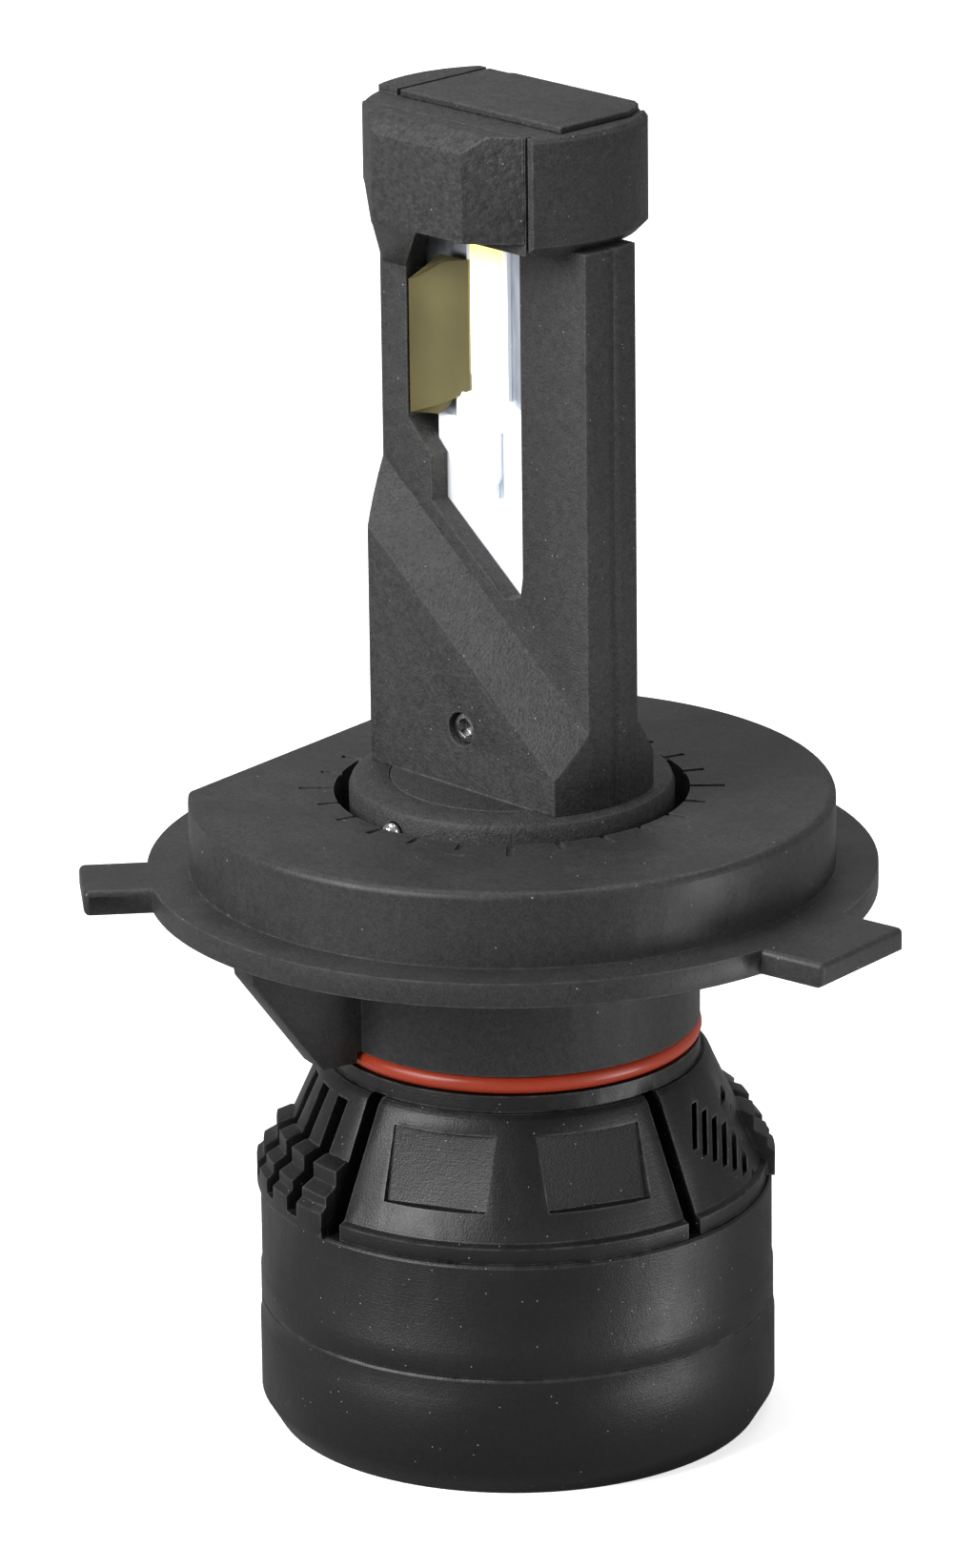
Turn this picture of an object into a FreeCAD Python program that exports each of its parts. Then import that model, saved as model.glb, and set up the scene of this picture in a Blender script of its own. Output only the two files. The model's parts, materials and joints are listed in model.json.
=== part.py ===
"""LED headlight bulb with a three-lug adapter, finned heat sink and fan.

Millimetres.  +Z runs up the bulb's axis towards its tip, +X is the bulb's twelve o'clock side
and the LED boards face -Y (front) and +Y (rear).  The origin is on the axis, in the plane of the
adapter ring's top face, which is the plane that seats against the lamp.
"""
import FreeCAD, Part
import math
import os
import re
import Sketcher

# ----------------------------------------------------------------------------------------
# Driving dimensions
# ----------------------------------------------------------------------------------------
SIZES = {
    # adapter
    "ring_r": 21.5, "ring_thick": 1.45, "ring_lap": 1.5, "pilot_r": 19.0, "pilot_high": 4.5,
    "pilot_round": 0.5, "pilot_flat": 15.0, "bore_r": 10.45, "sleeve_r": 11.0, "sleeve_deep": 9.55,
    "lug_reach": 25.4, "wide_lug": 8.0, "narrow_lug": 5.2, "lug_spread": 136,
    "lug_round": 0.35, "wing_reach": 18.5, "wing_foot": 13.6, "wing_thick": 2.2, "wing_lap": 0.3,
    "wing_turn": 68.5, "wing_drop": 2.6, "wing_tuck": 0.4, "wing_deep": 10.2, "adapter_angle": 7.5,
    # degree marks on the pilot
    "tick_wide": 0.42, "tick_deep": 0.15, "tick_short": 1.25, "tick_long": 2.05,
    "tick_first": 7.5, "tick_step": 15,
    # neck, collar, seal and index ball
    "neck_gap": 0.06, "neck_top": 0.8, "neck_bore": 7.2, "seal_r": 0.55, "seal_gap": 0.05,
    "seal_proud": 0.1, "collar_r": 9.55, "collar_top": 5.4, "collar_round": 0.55, "seat_gap": 0.05,
    "ball_r": 0.65, "ball_place": 9.7, "ball_high": 4.0, "ball_gap": 0.05, "ball_bore": 3.0,
    "spring_r": 0.45, "spring_wire": 0.09, "spring_turns": 4, "spring_end": 0.25,
    # heat sink
    "ledge_r": 11.0, "ledge_deep": 1.0, "cone_top_r": 11.6, "cone_foot_r": 14.5, "cone_foot_z": -18.55,
    "rim_bevel": 0.35, "foot_r": 14.9, "foot_bevel": 0.2, "foot_z": -19.7, "cavity_r": 8.6,
    "cavity_top": -12.6, "board_seat": -17.0, "seat_r": 9.4, "claw_slot": 1.0, "slot_floor": 9.8,
    "fin_gap": 1.15, "fin_floor": 10.4, "fin_pitch": 11.5, "fin_first": 54, "fin_from": 42,
    "fin_to": 88, "fin_skirt": 0.6, "fin_roof": 0.8, "terrace_top": 3.0, "terrace_low": 13.4,
    "terrace_mid": 14.2, "terrace_next": 15.0, "terrace_out": 15.42, "terrace_rise": 0.7,
    "rib_pitch": 0.6, "rib_groove": 0.3, "rib_deep": 0.8, "rib_axis": 46, "rib_start": 10.3,
    "rib_top": 13.15, "rib_top_step": 0.66, "rib_low": 15.4, "rib_low_step": 0.55, "rib_side": 3.4,
    "bar_high": 0.75, "leaf_turn": 21, "leaf_top": 12.9, "leaf_low": 17.0, "leaf_reach": 11.41,
    "leaf_lean": 0.407, "leaf_wide": 6.3, "beyond": 30,
    # tower
    "tower_r": 8.7, "slab_half": 2.0, "block_half": 4.07, "foot_length": 8.4,
    "block_edge": 13.65, "band_edge": 16.8, "band_lean": 38.3, "win_left": -6.25, "win_right": 3.1,
    "win_low_left": -4.3, "win_step_top": 26.2, "win_step": 1.95, "win_shoulder": 21.5,
    "win_tip": 16.8, "win_tip_wide": 1.9, "win_top": 37.7, "win_corner": 0.8, "clamp_r": 1.0,
    "clamp_high": 9.0, "clamp_floor": 2.2, "clamp_inset": 0.3, "clamp_key": 0.45,
    "clamp_bevel": 0.15, "key_deep": 0.6,
    # light source
    "core_half": 0.35, "board_thick": 0.3, "core_low": -9.0, "core_wide": 7.6, "core_top": 2.0,
    "web_left": -7.9, "web_low": 26.4, "wing_left": -5.1, "wing_low": 20.0, "board_left": -2.6,
    "board_right": 0.74, "board_step": 28.2, "board_tip": 16.1, "board_inset": 0.1,
    "notch_left": -0.4, "notch_wide": 0.7, "notch_low": 22.1, "notch_high": 26.2,
    "led_thick": 0.25, "strip_wide": 2.55, "low_beam_from": 29.2, "low_beam_to": 37.4,
    "low_beam_side": -0.9, "high_beam_from": 22.9, "high_beam_to": 28.2, "high_beam_side": -1.8,
    "shield_gap": 0.1, "shield_front": 0.1, "shield_lip": 0.2, "shield_low": 26.5,
    # cap
    "cap_r": 8.35, "cap_low": 38.6, "cap_high": 6.9, "cap_half": 4.6, "cap_chamfer": 0.6,
    "cap_edge": 0.25, "mask_low": 0.65, "mask_face": 6.9, "mask_left": -3.84, "mask_right": 3.5,
    "mask_end": 6.95, "mask_right_end": 6.35, "mask_bevel": 1.0, "groove_wide": 0.22,
    "groove_deep": 0.5, "cheek_high": 2.45, "chin_left": -8.2, "chin_reach": -0.2, "chin_low": 3.4,
    "plate_left": -5.9, "plate_right": 7.2, "plate_from": -2.6, "plate_to": 4.55, "plate_r": 7.75,
    "plate_high": 0.4, "rim_gap": 0.25, "rim_inset": 0.25,
    # driver
    "driver_r": 9.35, "driver_thick": 1.0, "choke_r": 2.1, "choke_high": 3.2, "choke_at": -4.6,
    "choke_side": -3.2, "can_r": 1.35, "can_high": 3.6, "can_at": 4.9, "can_side": 2.4,
    "chip_wide": 4.0, "chip_high": 0.9, "chip_side": 1.2,
    # fan housing
    "shell_top_r": 15.22, "shell_mid_r": 15.3, "shell_low_r": 15.38, "shell_wall": 1.1,
    "step_one": -25.1, "step_two": -28.2, "line_at": -26.8, "line_cut": 0.12, "shell_low": -34.2,
    "shell_ease": 0.15, "chamfer_high": 1.5, "chamfer_in": 0.9, "lip_r": 12.4, "lip_thick": 1.0,
    # fan, with its heights measured up from the housing's lowest face
    "grille_thick": 1.0, "grille_gap": 0.05, "grille_hub_r": 6.4, "spoke_wide": 1.2, "hub_floor": 0.5,
    "tube_r": 2.2, "tube_high": 6.6, "sleeve_in": 0.8, "sleeve_out": 1.65,
    "shaft_gap": 0.05, "shaft_low": 2.6, "fan_board_r": 6.0, "fan_board_thick": 0.7,
    "stator_r": 5.1, "stator_low": 2.6, "stator_high": 5.0, "stator_hub": 0.9, "shoe_wide": 5.2,
    "neck_wide": 1.0, "coil_wide": 2.2, "coil_room": 0.6, "coil_gap": 0.05,
    "cup_r": 7.2, "cup_wall": 1.05, "cup_top": 8.0, "cup_plate": 0.8, "cup_low": 2.4,
    "cup_bevel": 0.5, "magnet_thick": 0.6, "blade_tip": 13.3, "blade_thick": 0.88,
    "blade_low": 2.6, "blade_high": 7.2, "blade_sweep": 2.3,
    "screw_at": 13.2, "screw_r": 0.5, "screw_head_r": 0.8, "screw_head": 0.5,
    # cable inlet
    "inlet_angle": 136, "inlet_high": -22.4, "inlet_hole": 1.6, "inlet_r": 2.15,
    "inlet_flange": 2.6, "inlet_out": 1.0, "inlet_gap": 0.05, "inlet_lip": 0.55, "inlet_ease": 0.3,
}

BLADES = 9
SPOKES = 4
COVER_SCREWS = 3
RIBS = 8
FIRST_UPPER_RIB = 3
FIN_GAPS = 3
POLES = 4

doc = FreeCAD.newDocument("HeadlightBulb")
sheet = doc.addObject("Spreadsheet::Sheet", "Sizes")
for line, (alias, number) in enumerate(SIZES.items(), 1):
    sheet.set("A%d" % line, alias)
    sheet.set("B%d" % line, str(number))
    sheet.setAlias("B%d" % line, alias)
doc.recompute()

NODES = {}


# ----------------------------------------------------------------------------------------
# Helpers: every formula is text that names the sheet's sizes
# ----------------------------------------------------------------------------------------
def linked(formula):
    """The formula with each size's name pointing at the sheet."""
    return re.sub(r"[a-z]\w*", lambda word: ("Sizes." if word.group(0) in SIZES else "") + word.group(0),
                  str(formula))


def bind(thing, **formulas):
    """Ties properties to formulas; two underscores stand for a dot."""
    for name, formula in formulas.items():
        thing.setExpression(name.replace("__", "."), linked(formula))
    return thing


def place(thing, along="0", across="0", up="0", turn="0"):
    """Moves a shape, turned about Z by `turn` degrees around the bulb's axis."""
    thing.Placement = FreeCAD.Placement(FreeCAD.Vector(), FreeCAD.Rotation(FreeCAD.Vector(0, 0, 1), 1))
    bind(thing, Placement__Rotation__Angle=turn, Placement__Base__z=up,
         Placement__Base__x="(%s) * cos(%s) - (%s) * sin(%s)" % (along, turn, across, turn),
         Placement__Base__y="(%s) * sin(%s) + (%s) * cos(%s)" % (along, turn, across, turn))
    return thing


def box(name, along, across, up, turn="0"):
    """A box between pairs of formulas along each direction, turned about the axis."""
    thing = doc.addObject("Part::Box", name)
    bind(thing, Length="(%s) - (%s)" % (along[1], along[0]), Width="(%s) - (%s)" % (across[1], across[0]),
         Height="(%s) - (%s)" % (up[1], up[0]))
    return place(thing, along[0], across[0], up[0], turn)


def cylinder(name, radius, low, high, along="0", across="0", turn="0"):
    """An upright cylinder from `low` to `high`."""
    thing = doc.addObject("Part::Cylinder", name)
    bind(thing, Radius=radius, Height="(%s) - (%s)" % (high, low))
    return place(thing, along, across, low, turn)


def boolean(kind, name, base, tool):
    thing = doc.addObject("Part::" + kind, name)
    thing.Base = base
    thing.Tool = tool
    return thing


def cut(name, base, *tools):
    """The base less every tool."""
    return boolean("Cut", name, base, tools[0] if len(tools) == 1 else fuse(name + "Tools", *tools))


def common(name, base, tool):
    return boolean("Common", name, base, tool)


def fuse(name, *pieces):
    thing = doc.addObject("Part::MultiFuse", name)
    thing.Shapes = list(pieces)
    return thing


def group(name, *pieces):
    """Separate solids that share one node."""
    thing = doc.addObject("Part::Compound", name)
    thing.Links = list(pieces)
    return thing


def mirrored(name, source, normal=(0, 1, 0)):
    thing = doc.addObject("Part::Mirroring", name)
    thing.Source = source
    thing.Normal = FreeCAD.Vector(*normal)
    return thing


def node(label, thing):
    """Names a finished sub-part."""
    thing.Label = label
    NODES[label] = thing
    return thing


def outline(body, name, plane, corners):
    """A fully dimensioned closed outline through corners, each an (across, up) pair of formulas."""
    sketch = body.newObject("Sketcher::SketchObject", name)
    support = [item for item in body.Origin.OriginFeatures if item.Role == plane][0]
    sketch.AttachmentSupport = [(support, "")]
    sketch.MapMode = "FlatFace"
    count = len(corners)
    round_trip = [FreeCAD.Vector(math.cos(2 * math.pi * i / count), math.sin(2 * math.pi * i / count), 0)
                  for i in range(count + 1)]
    sketch.addGeometry([Part.LineSegment(round_trip[i], round_trip[i + 1]) for i in range(count)])
    rules = [Sketcher.Constraint("Coincident", i, 2, (i + 1) % count, 1) for i in range(count)]
    for i in range(count):
        rules.append(Sketcher.Constraint("DistanceX", -1, 1, i, 1, round_trip[i].x))
        rules.append(Sketcher.Constraint("DistanceY", -1, 1, i, 1, round_trip[i].y))
    sketch.addConstraint(rules)
    for i, (across, up) in enumerate(corners):
        sketch.setExpression("Constraints[%d]" % (count + 2 * i), linked(across))
        sketch.setExpression("Constraints[%d]" % (count + 2 * i + 1), linked(up))
    return sketch


def turned(name, corners, axis="V_Axis"):
    """A body of revolution about Z (V_Axis) or about X (H_Axis) from an outline in the XZ plane."""
    body = doc.addObject("PartDesign::Body", name)
    sketch = outline(body, name + "Outline", "XZ_Plane", corners)
    doc.recompute()
    feature = body.newObject("PartDesign::Revolution", name + "Turn")
    feature.Profile = sketch
    feature.ReferenceAxis = (sketch, [axis])
    feature.Angle = 360
    return body


def padded(name, plane, corners, length, both_ways=True):
    """A prism from an outline, its length split about the plane or all on its near side."""
    body = doc.addObject("PartDesign::Body", name)
    sketch = outline(body, name + "Outline", plane, corners)
    doc.recompute()
    feature = body.newObject("PartDesign::Pad", name + "Pad")
    feature.Profile = sketch
    feature.Midplane = both_ways
    bind(feature, Length=length)
    return body


def ring(name, inner, outer, low, high):
    """A plain ring between two radii."""
    return turned(name, [(inner, low), (outer, low), (outer, high), (inner, high)])


def edges_near(thing, test):
    """Numbers of the edges whose middle passes the test."""
    doc.recompute()
    found = []
    for number, edge in enumerate(thing.Shape.Edges, 1):
        middle = edge.valueAt((edge.FirstParameter + edge.LastParameter) / 2)
        if test(edge, middle):
            found.append(number)
    return found


def rounded(name, base, radius, test):
    """The base with a fillet of the sheet's radius on the edges that pass the test."""
    thing = doc.addObject("Part::Fillet", name)
    thing.Base = base
    size = getattr(sheet, radius)
    thing.Edges = [(number, size, size) for number in edges_near(base, test)]
    return thing


def distance(point):
    return math.hypot(point.x, point.y)


# ----------------------------------------------------------------------------------------
# Adapter: ring, pilot, three lugs, sleeve, grip wings and degree marks in one casting
# ----------------------------------------------------------------------------------------
def make_adapter():
    blank = turned("AdapterBlank", [
        ("bore_r", "pilot_high"), ("pilot_r", "pilot_high"), ("pilot_r", "0"), ("ring_r", "0"),
        ("ring_r", "-ring_thick"), ("sleeve_r", "-ring_thick"), ("sleeve_r", "-sleeve_deep"),
        ("bore_r", "-sleeve_deep")])
    flat = box("PilotFlat", ("-2 * pilot_r", "-pilot_flat"), ("-pilot_r", "pilot_r"), ("0", "2 * pilot_high"))
    seated = cut("AdapterSeated", blank, flat)
    smooth = rounded("AdapterSmooth", seated, "pilot_round", lambda edge, middle:
                     abs(middle.z - sheet.pilot_high) < 1e-6 and distance(middle) > sheet.bore_r + 1)
    lugs = []
    for number, (wide, turn) in enumerate((("wide_lug", "0"), ("narrow_lug", "lug_spread"),
                                           ("narrow_lug", "-lug_spread"))):
        blank_lug = box("Lug%d" % number, ("ring_r - ring_lap", "lug_reach"), ("-%s / 2" % wide, "%s / 2" % wide),
                        ("-ring_thick", "0"))
        lug = rounded("LugRound%d" % number, blank_lug, "lug_round", lambda edge, middle:
                      middle.x > sheet.lug_reach - 1e-6 or abs(middle.z) < 1e-6 and abs(middle.y) > 1)
        holder = doc.addObject("Part::Compound", "LugPlaced%d" % number)
        holder.Links = [lug]
        lugs.append(place(holder, turn=turn))
    wings = []
    for number, turn in enumerate(("wing_turn", "wing_turn + 180")):
        wing = padded("Wing%d" % number, "XZ_Plane", [
            ("sleeve_r - wing_lap", "-ring_thick / 2"), ("wing_reach", "-ring_thick / 2"),
            ("wing_reach", "-ring_thick"), ("wing_reach - wing_tuck", "-ring_thick - wing_drop"),
            ("wing_foot", "-wing_deep"), ("sleeve_r + wing_lap", "-wing_deep"),
            ("sleeve_r + wing_lap", "-sleeve_deep"), ("sleeve_r - wing_lap", "-sleeve_deep")],
            "wing_thick")
        wings.append(place(wing, turn=turn))
    whole = fuse("AdapterWhole", smooth, *(lugs + wings))
    marks = []
    count = int(round(360 / SIZES["tick_step"]))
    for number in range(count):
        angle = "tick_first + tick_step * %d" % number
        reach = "tick_long" if number % 6 == 2 else "tick_short"
        marks.append(box("Tick%02d" % number, ("bore_r - 0.5", "bore_r + %s" % reach),
                         ("-tick_wide / 2", "tick_wide / 2"), ("pilot_high - tick_deep", "pilot_high + 1"),
                         angle))
    marks.append(box("ZeroMark", ("bore_r + tick_long", "bore_r + tick_long + tick_wide / 2"),
                     ("-tick_short / 2", "tick_short / 2"),
                     ("pilot_high - tick_deep", "pilot_high + 1"), "tick_first + tick_step * 19"))
    marked = cut("AdapterMarked", whole, *marks)
    bored = cut("AdapterBored", marked, cylinder("AdapterBore", "bore_r", "-2 * sleeve_deep", "2 * pilot_high"))
    node("adapter", place(bored, turn="adapter_angle"))


# ----------------------------------------------------------------------------------------
# Neck collar, O-ring and the index ball with its spring
# ----------------------------------------------------------------------------------------
def make_collar_and_seal():
    blank = turned("CollarBlank", [
        ("neck_bore", "neck_top"), ("collar_r", "neck_top"), ("collar_r", "collar_top - collar_round"),
        ("collar_r - collar_round * 0.3", "collar_top - collar_round * 0.3"),
        ("collar_r - collar_round", "collar_top"), ("neck_bore", "collar_top")])
    drilling = turned("BallDrilling", [("0", "0"), ("ball_r + ball_gap", "0"),
                                       ("ball_r + ball_gap", "ball_bore"), ("0", "ball_bore")])
    lay_down(drilling, "neck_bore + seal_proud")
    node("neck_collar", cut("NeckCollar", blank, drilling))

    seal = doc.addObject("Part::Torus", "ORing")
    bind(seal, Radius1="sleeve_r + seal_proud - seal_r", Radius2="seal_r")
    node("o_ring", place(seal, up="-sleeve_deep - seal_gap - seal_r"))

    ball = doc.addObject("Part::Sphere", "DetentBall")
    bind(ball, Radius="ball_r")
    node("detent_ball", place(ball, along="ball_place", up="ball_high", turn="-90"))

    helix = doc.addObject("Part::Helix", "SpringPath")
    room = "(ball_place - ball_r - neck_bore - 2 * spring_end)"
    bind(helix, Radius="spring_r", Height=room, Pitch=room + " / spring_turns")
    wire = doc.addObject("Part::Circle", "SpringWire")
    bind(wire, Radius="spring_wire")
    wire.Placement = FreeCAD.Placement(FreeCAD.Vector(), FreeCAD.Rotation(FreeCAD.Vector(1, 0, 0), 90))
    bind(wire, Placement__Base__x="spring_r")
    coil = doc.addObject("Part::Sweep", "SpringCoil")
    coil.Sections = [wire]
    coil.Spine = helix
    coil.Solid = True
    coil.Frenet = True
    lay_down(coil, "neck_bore + spring_end")
    node("detent_spring", coil)


def lay_down(thing, start):
    """Lays a shape built up from Z = 0 along -Y, starting at `start` from the axis, at ball height."""
    thing.Placement = FreeCAD.Placement(FreeCAD.Vector(), FreeCAD.Rotation(FreeCAD.Vector(1, 0, 0), 90))
    bind(thing, Placement__Base__y="-(%s)" % start, Placement__Base__z="ball_high")
    return thing


# ----------------------------------------------------------------------------------------
# Heat sink
# ----------------------------------------------------------------------------------------
def make_heat_sink():
    """Neck, seal ledge and cone with claw slots, fins on two sides, ribs and leaf-shaped pockets."""
    ledge = "(-sleeve_deep - 2 * seal_r - 2 * seal_gap)"
    cone_top = "(%s - ledge_deep)" % ledge
    neck = "(sleeve_r + seal_proud - 2 * seal_r - seal_gap)"
    blank = turned("SinkBlank", [
        ("neck_bore", "neck_top"), ("bore_r - neck_gap", "neck_top"), ("bore_r - neck_gap", "-sleeve_deep"),
        (neck, "-sleeve_deep"), (neck, ledge), ("ledge_r", ledge), ("ledge_r", cone_top),
        ("cone_top_r - rim_bevel", cone_top), ("cone_top_r", cone_top + " - rim_bevel"),
        ("cone_foot_r", "cone_foot_z"), ("foot_r", "cone_foot_z - foot_bevel"), ("foot_r", "foot_z"),
        ("seat_r", "foot_z"), ("seat_r", "board_seat"), ("cavity_r", "board_seat"),
        ("cavity_r", "cavity_top"), ("neck_bore", "cavity_top")])
    steps = "(cone_foot_z + terrace_top - %s)"
    terrace = turned("SinkTerrace", [
        ("fin_floor", steps % "0"), ("terrace_low", steps % "0"),
        ("terrace_mid", steps % "terrace_rise / 2"), ("terrace_mid", steps % "1.8 * terrace_rise"),
        ("terrace_next", steps % "2.5 * terrace_rise"), ("terrace_next", steps % "3.3 * terrace_rise"),
        ("terrace_out", steps % "3.8 * terrace_rise"), ("terrace_out", "foot_z"), ("fin_floor", "foot_z")])
    sectors = [place(padded("FinSector%d" % side, "XY_Plane", [
        ("0", "0"), ("beyond * cos(fin_from)", "beyond * sin(fin_from)"),
        ("beyond * cos(fin_to)", "beyond * sin(fin_to)")], "2 * beyond"), turn="%d" % side)
        for side in (0, 180)]
    whole = fuse("SinkWhole", blank, common("SinkSteps", terrace, fuse("FinSectors", *sectors)))

    openings = []
    for quarter in range(4):
        openings.append(box("ClawSlot%d" % quarter, ("slot_floor", "beyond"), ("-claw_slot / 2", "claw_slot / 2"),
                            ("2 * foot_z", cone_top + " + seat_gap"), "%d" % (quarter * 90)))
    grooves = []
    for side in (0, 180):
        for number in range(FIN_GAPS):
            openings.append(box("FinGap%d_%d" % (side, number), ("fin_floor", "beyond"),
                                ("-fin_gap / 2", "fin_gap / 2"), ("foot_z + fin_skirt", cone_top + " - fin_roof"),
                                "fin_first + fin_pitch * %d + %d" % (number, side)))
        for number, turn in enumerate(("leaf_turn", "-leaf_turn")):
            leaf = padded("Leaf%d_%d" % (side, number), "XZ_Plane", [
                ("leaf_reach", "-leaf_top"), ("beyond", "-leaf_top"), ("beyond", "-leaf_low"),
                ("leaf_reach + leaf_lean * (leaf_low - leaf_top)", "-leaf_low")], "leaf_wide")
            openings.append(place(leaf, turn="rib_axis - 90 + %s + %d" % (turn, side)))
        for number in range(RIBS):
            start = "rib_start + rib_pitch * %d" % number
            top = "(-rib_top - rib_top_step * %d)" % number
            spans = [("-rib_low - rib_low_step * %d" % number, top)]
            if number >= FIRST_UPPER_RIB:
                spans.append((top + " + bar_high", top + " + 2 * bar_high"))
            for part, span in enumerate(spans):
                grooves.append(box("Rib%d_%d_%d" % (side, number, part), (start, start + " + rib_groove"),
                                   ("-beyond", "-rib_side / %d" % (part + 1)), span, "rib_axis + %d" % side))
    skin = turned("GrooveSkin", [
        ("cone_top_r - rib_deep", cone_top + " - rim_bevel"), ("beyond", cone_top + " - rim_bevel"),
        ("beyond", "cone_foot_z"), ("cone_foot_r - rib_deep", "cone_foot_z")])
    openings.append(common("RibGrooves", fuse("RibSlabs", *grooves), skin))
    node("heat_sink", cut("HeatSink", whole, *openings))


# ----------------------------------------------------------------------------------------
# Tower halves with the window, clamp screws, cap
# ----------------------------------------------------------------------------------------
def front_space(name, low, high):
    """Everything on the front (-Y) side between two heights."""
    return box(name, ("-beyond", "beyond"), ("-beyond", "0"), (low, high))


def oblique_block(name):
    """The lower block under the slanting band, a (depth, height) outline swept down along the slant."""
    body = doc.addObject("PartDesign::Body", name)
    sketch = outline(body, name + "Outline", "YZ_Plane", [
        ("0", "-2 * beyond"), ("-block_half", "-2 * beyond"), ("-block_half", "block_edge"),
        ("-slab_half", "band_edge"), ("0", "band_edge")])
    doc.recompute()
    slant = doc.addObject("Part::Extrusion", name + "Slant")
    slant.Base = sketch
    slant.DirMode = "Custom"
    slant.Dir = FreeCAD.Vector(1, 0, -1)
    slant.Solid = True
    bind(slant, Dir__z="-tan(band_lean)", LengthFwd="2 * tower_r", LengthRev="2 * tower_r")
    return slant


def plate_outline(room):
    """The core's outline in (across, up), grown by `room`."""
    return [("-core_wide / 2 - %s" % room, "core_low - %s" % room),
            ("core_wide / 2 + %s" % room, "core_low - %s" % room),
            ("core_wide / 2 + %s" % room, "cap_low + core_top + %s" % room),
            ("-core_wide / 2 - %s" % room, "cap_low + core_top + %s" % room),
            ("-core_wide / 2 - %s" % room, "cap_low + %s" % room),
            ("web_left - %s" % room, "cap_low + %s" % room), ("web_left - %s" % room, "web_low - %s" % room),
            ("wing_left - %s" % room, "web_low - %s" % room), ("wing_left - %s" % room, "wing_low - %s" % room),
            ("-core_wide / 2 - %s" % room, "wing_low - %s" % room)]


def board_outline(room):
    """The LED board's outline in (across, up), grown by `room`."""
    tip = "board_tip - %s" % room
    return [("board_left - %s" % room, "cap_low - board_inset + %s" % room),
            ("board_left - %s" % room, "web_low + %s" % room), ("wing_left - %s" % room, "web_low + %s" % room),
            ("wing_left - %s" % room, "win_shoulder - %s" % room), ("0", tip), ("core_wide / 4", tip),
            ("core_wide / 2 + %s" % room, tip + " + win_corner"),
            ("core_wide / 2 + %s" % room, "web_low + %s" % room),
            ("board_right + %s" % room, "board_step + %s" % room),
            ("board_right + %s" % room, "cap_low - board_inset + %s" % room)]


def make_tower():
    envelope = cylinder("TowerEnvelope", "tower_r", "collar_top", "cap_low")
    slab = box("TowerSlab", ("-tower_r", "tower_r"), ("-slab_half", "0"), ("collar_top", "cap_low"))
    body = common("TowerBody", envelope, fuse("TowerBlockAndSlab", slab, oblique_block("TowerBlock")))
    foot = common("TowerFootHalf", cylinder("TowerFoot", "neck_bore - seat_gap", "collar_top - foot_length",
                                            "collar_top"), front_space("FootSide", "-beyond", "beyond"))
    whole = fuse("TowerHalfWhole", body, foot)
    window = padded("Window", "XZ_Plane", [
        ("win_left", "win_step_top"), ("win_low_left", "win_step_top - win_step"),
        ("win_low_left", "win_shoulder"),
        ("win_low_left + (win_shoulder - win_tip) / tan(band_lean)", "win_tip"),
        ("win_right - win_corner / 4", "win_tip + win_corner / 2"), ("win_right", "win_tip + 2 * win_corner"),
        ("win_right", "win_top"), ("win_left + 2 * win_corner", "win_top"),
        ("win_left + win_corner", "win_top - win_corner / 2"),
        ("win_left + win_corner / 3", "win_top - win_corner"), ("win_left", "win_top - 2 * win_corner")],
        "beyond")
    core_pocket = padded("CorePocket", "XZ_Plane", plate_outline("seat_gap"), "2 * core_half + 2 * seat_gap")
    board_pocket = padded("BoardPocket", "XZ_Plane", board_outline("seat_gap"),
                          "2 * core_half + 2 * board_thick + 2 * seat_gap")
    recess = turned("ClampRecess", [("0", "0"), ("clamp_r", "0"), ("clamp_r", "tower_r"), ("0", "tower_r")])
    recess.Placement = FreeCAD.Placement(FreeCAD.Vector(), FreeCAD.Rotation(FreeCAD.Vector(1, 0, 0), 90))
    bind(recess, Placement__Base__y="-clamp_floor", Placement__Base__z="clamp_high")
    front = node("tower_front_half", cut("TowerFront", whole, window, core_pocket, board_pocket, recess))
    node("tower_rear_half", mirrored("TowerRear", front))

    head = "block_half - clamp_inset - clamp_floor"
    screw = turned("ClampScrew", [
        ("0", "0"), ("clamp_r - seat_gap", "0"), ("clamp_r - seat_gap", head + " - clamp_bevel"),
        ("clamp_r - seat_gap - clamp_bevel", head), ("clamp_key", head), ("clamp_key", head + " - key_deep"),
        ("0", head + " - key_deep - clamp_bevel")])
    screw.Placement = FreeCAD.Placement(FreeCAD.Vector(), FreeCAD.Rotation(FreeCAD.Vector(1, 0, 0), 90))
    bind(screw, Placement__Base__y="-clamp_floor", Placement__Base__z="clamp_high")
    node("tower_screws", group("ClampScrews", screw, mirrored("ClampScrewRear", screw)))


def cheek(name):
    """What is cut from the cap's lower corner on its nine o'clock side, turned to face that corner."""
    tool = padded(name, "XZ_Plane", [
        ("-beyond", "cap_low + cheek_high"), ("-cap_r + 0.04 * cheek_high", "cap_low + cheek_high"),
        ("-cap_r + 0.12 * cheek_high", "cap_low + 0.85 * cheek_high"),
        ("-cap_r + 0.3 * cheek_high", "cap_low + 0.1 * cheek_high"),
        ("-cap_r + 0.48 * cheek_high", "cap_low - chin_low"), ("-beyond", "cap_low - chin_low")], "2 * beyond")
    return place(tool, turn="rib_axis")


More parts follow.
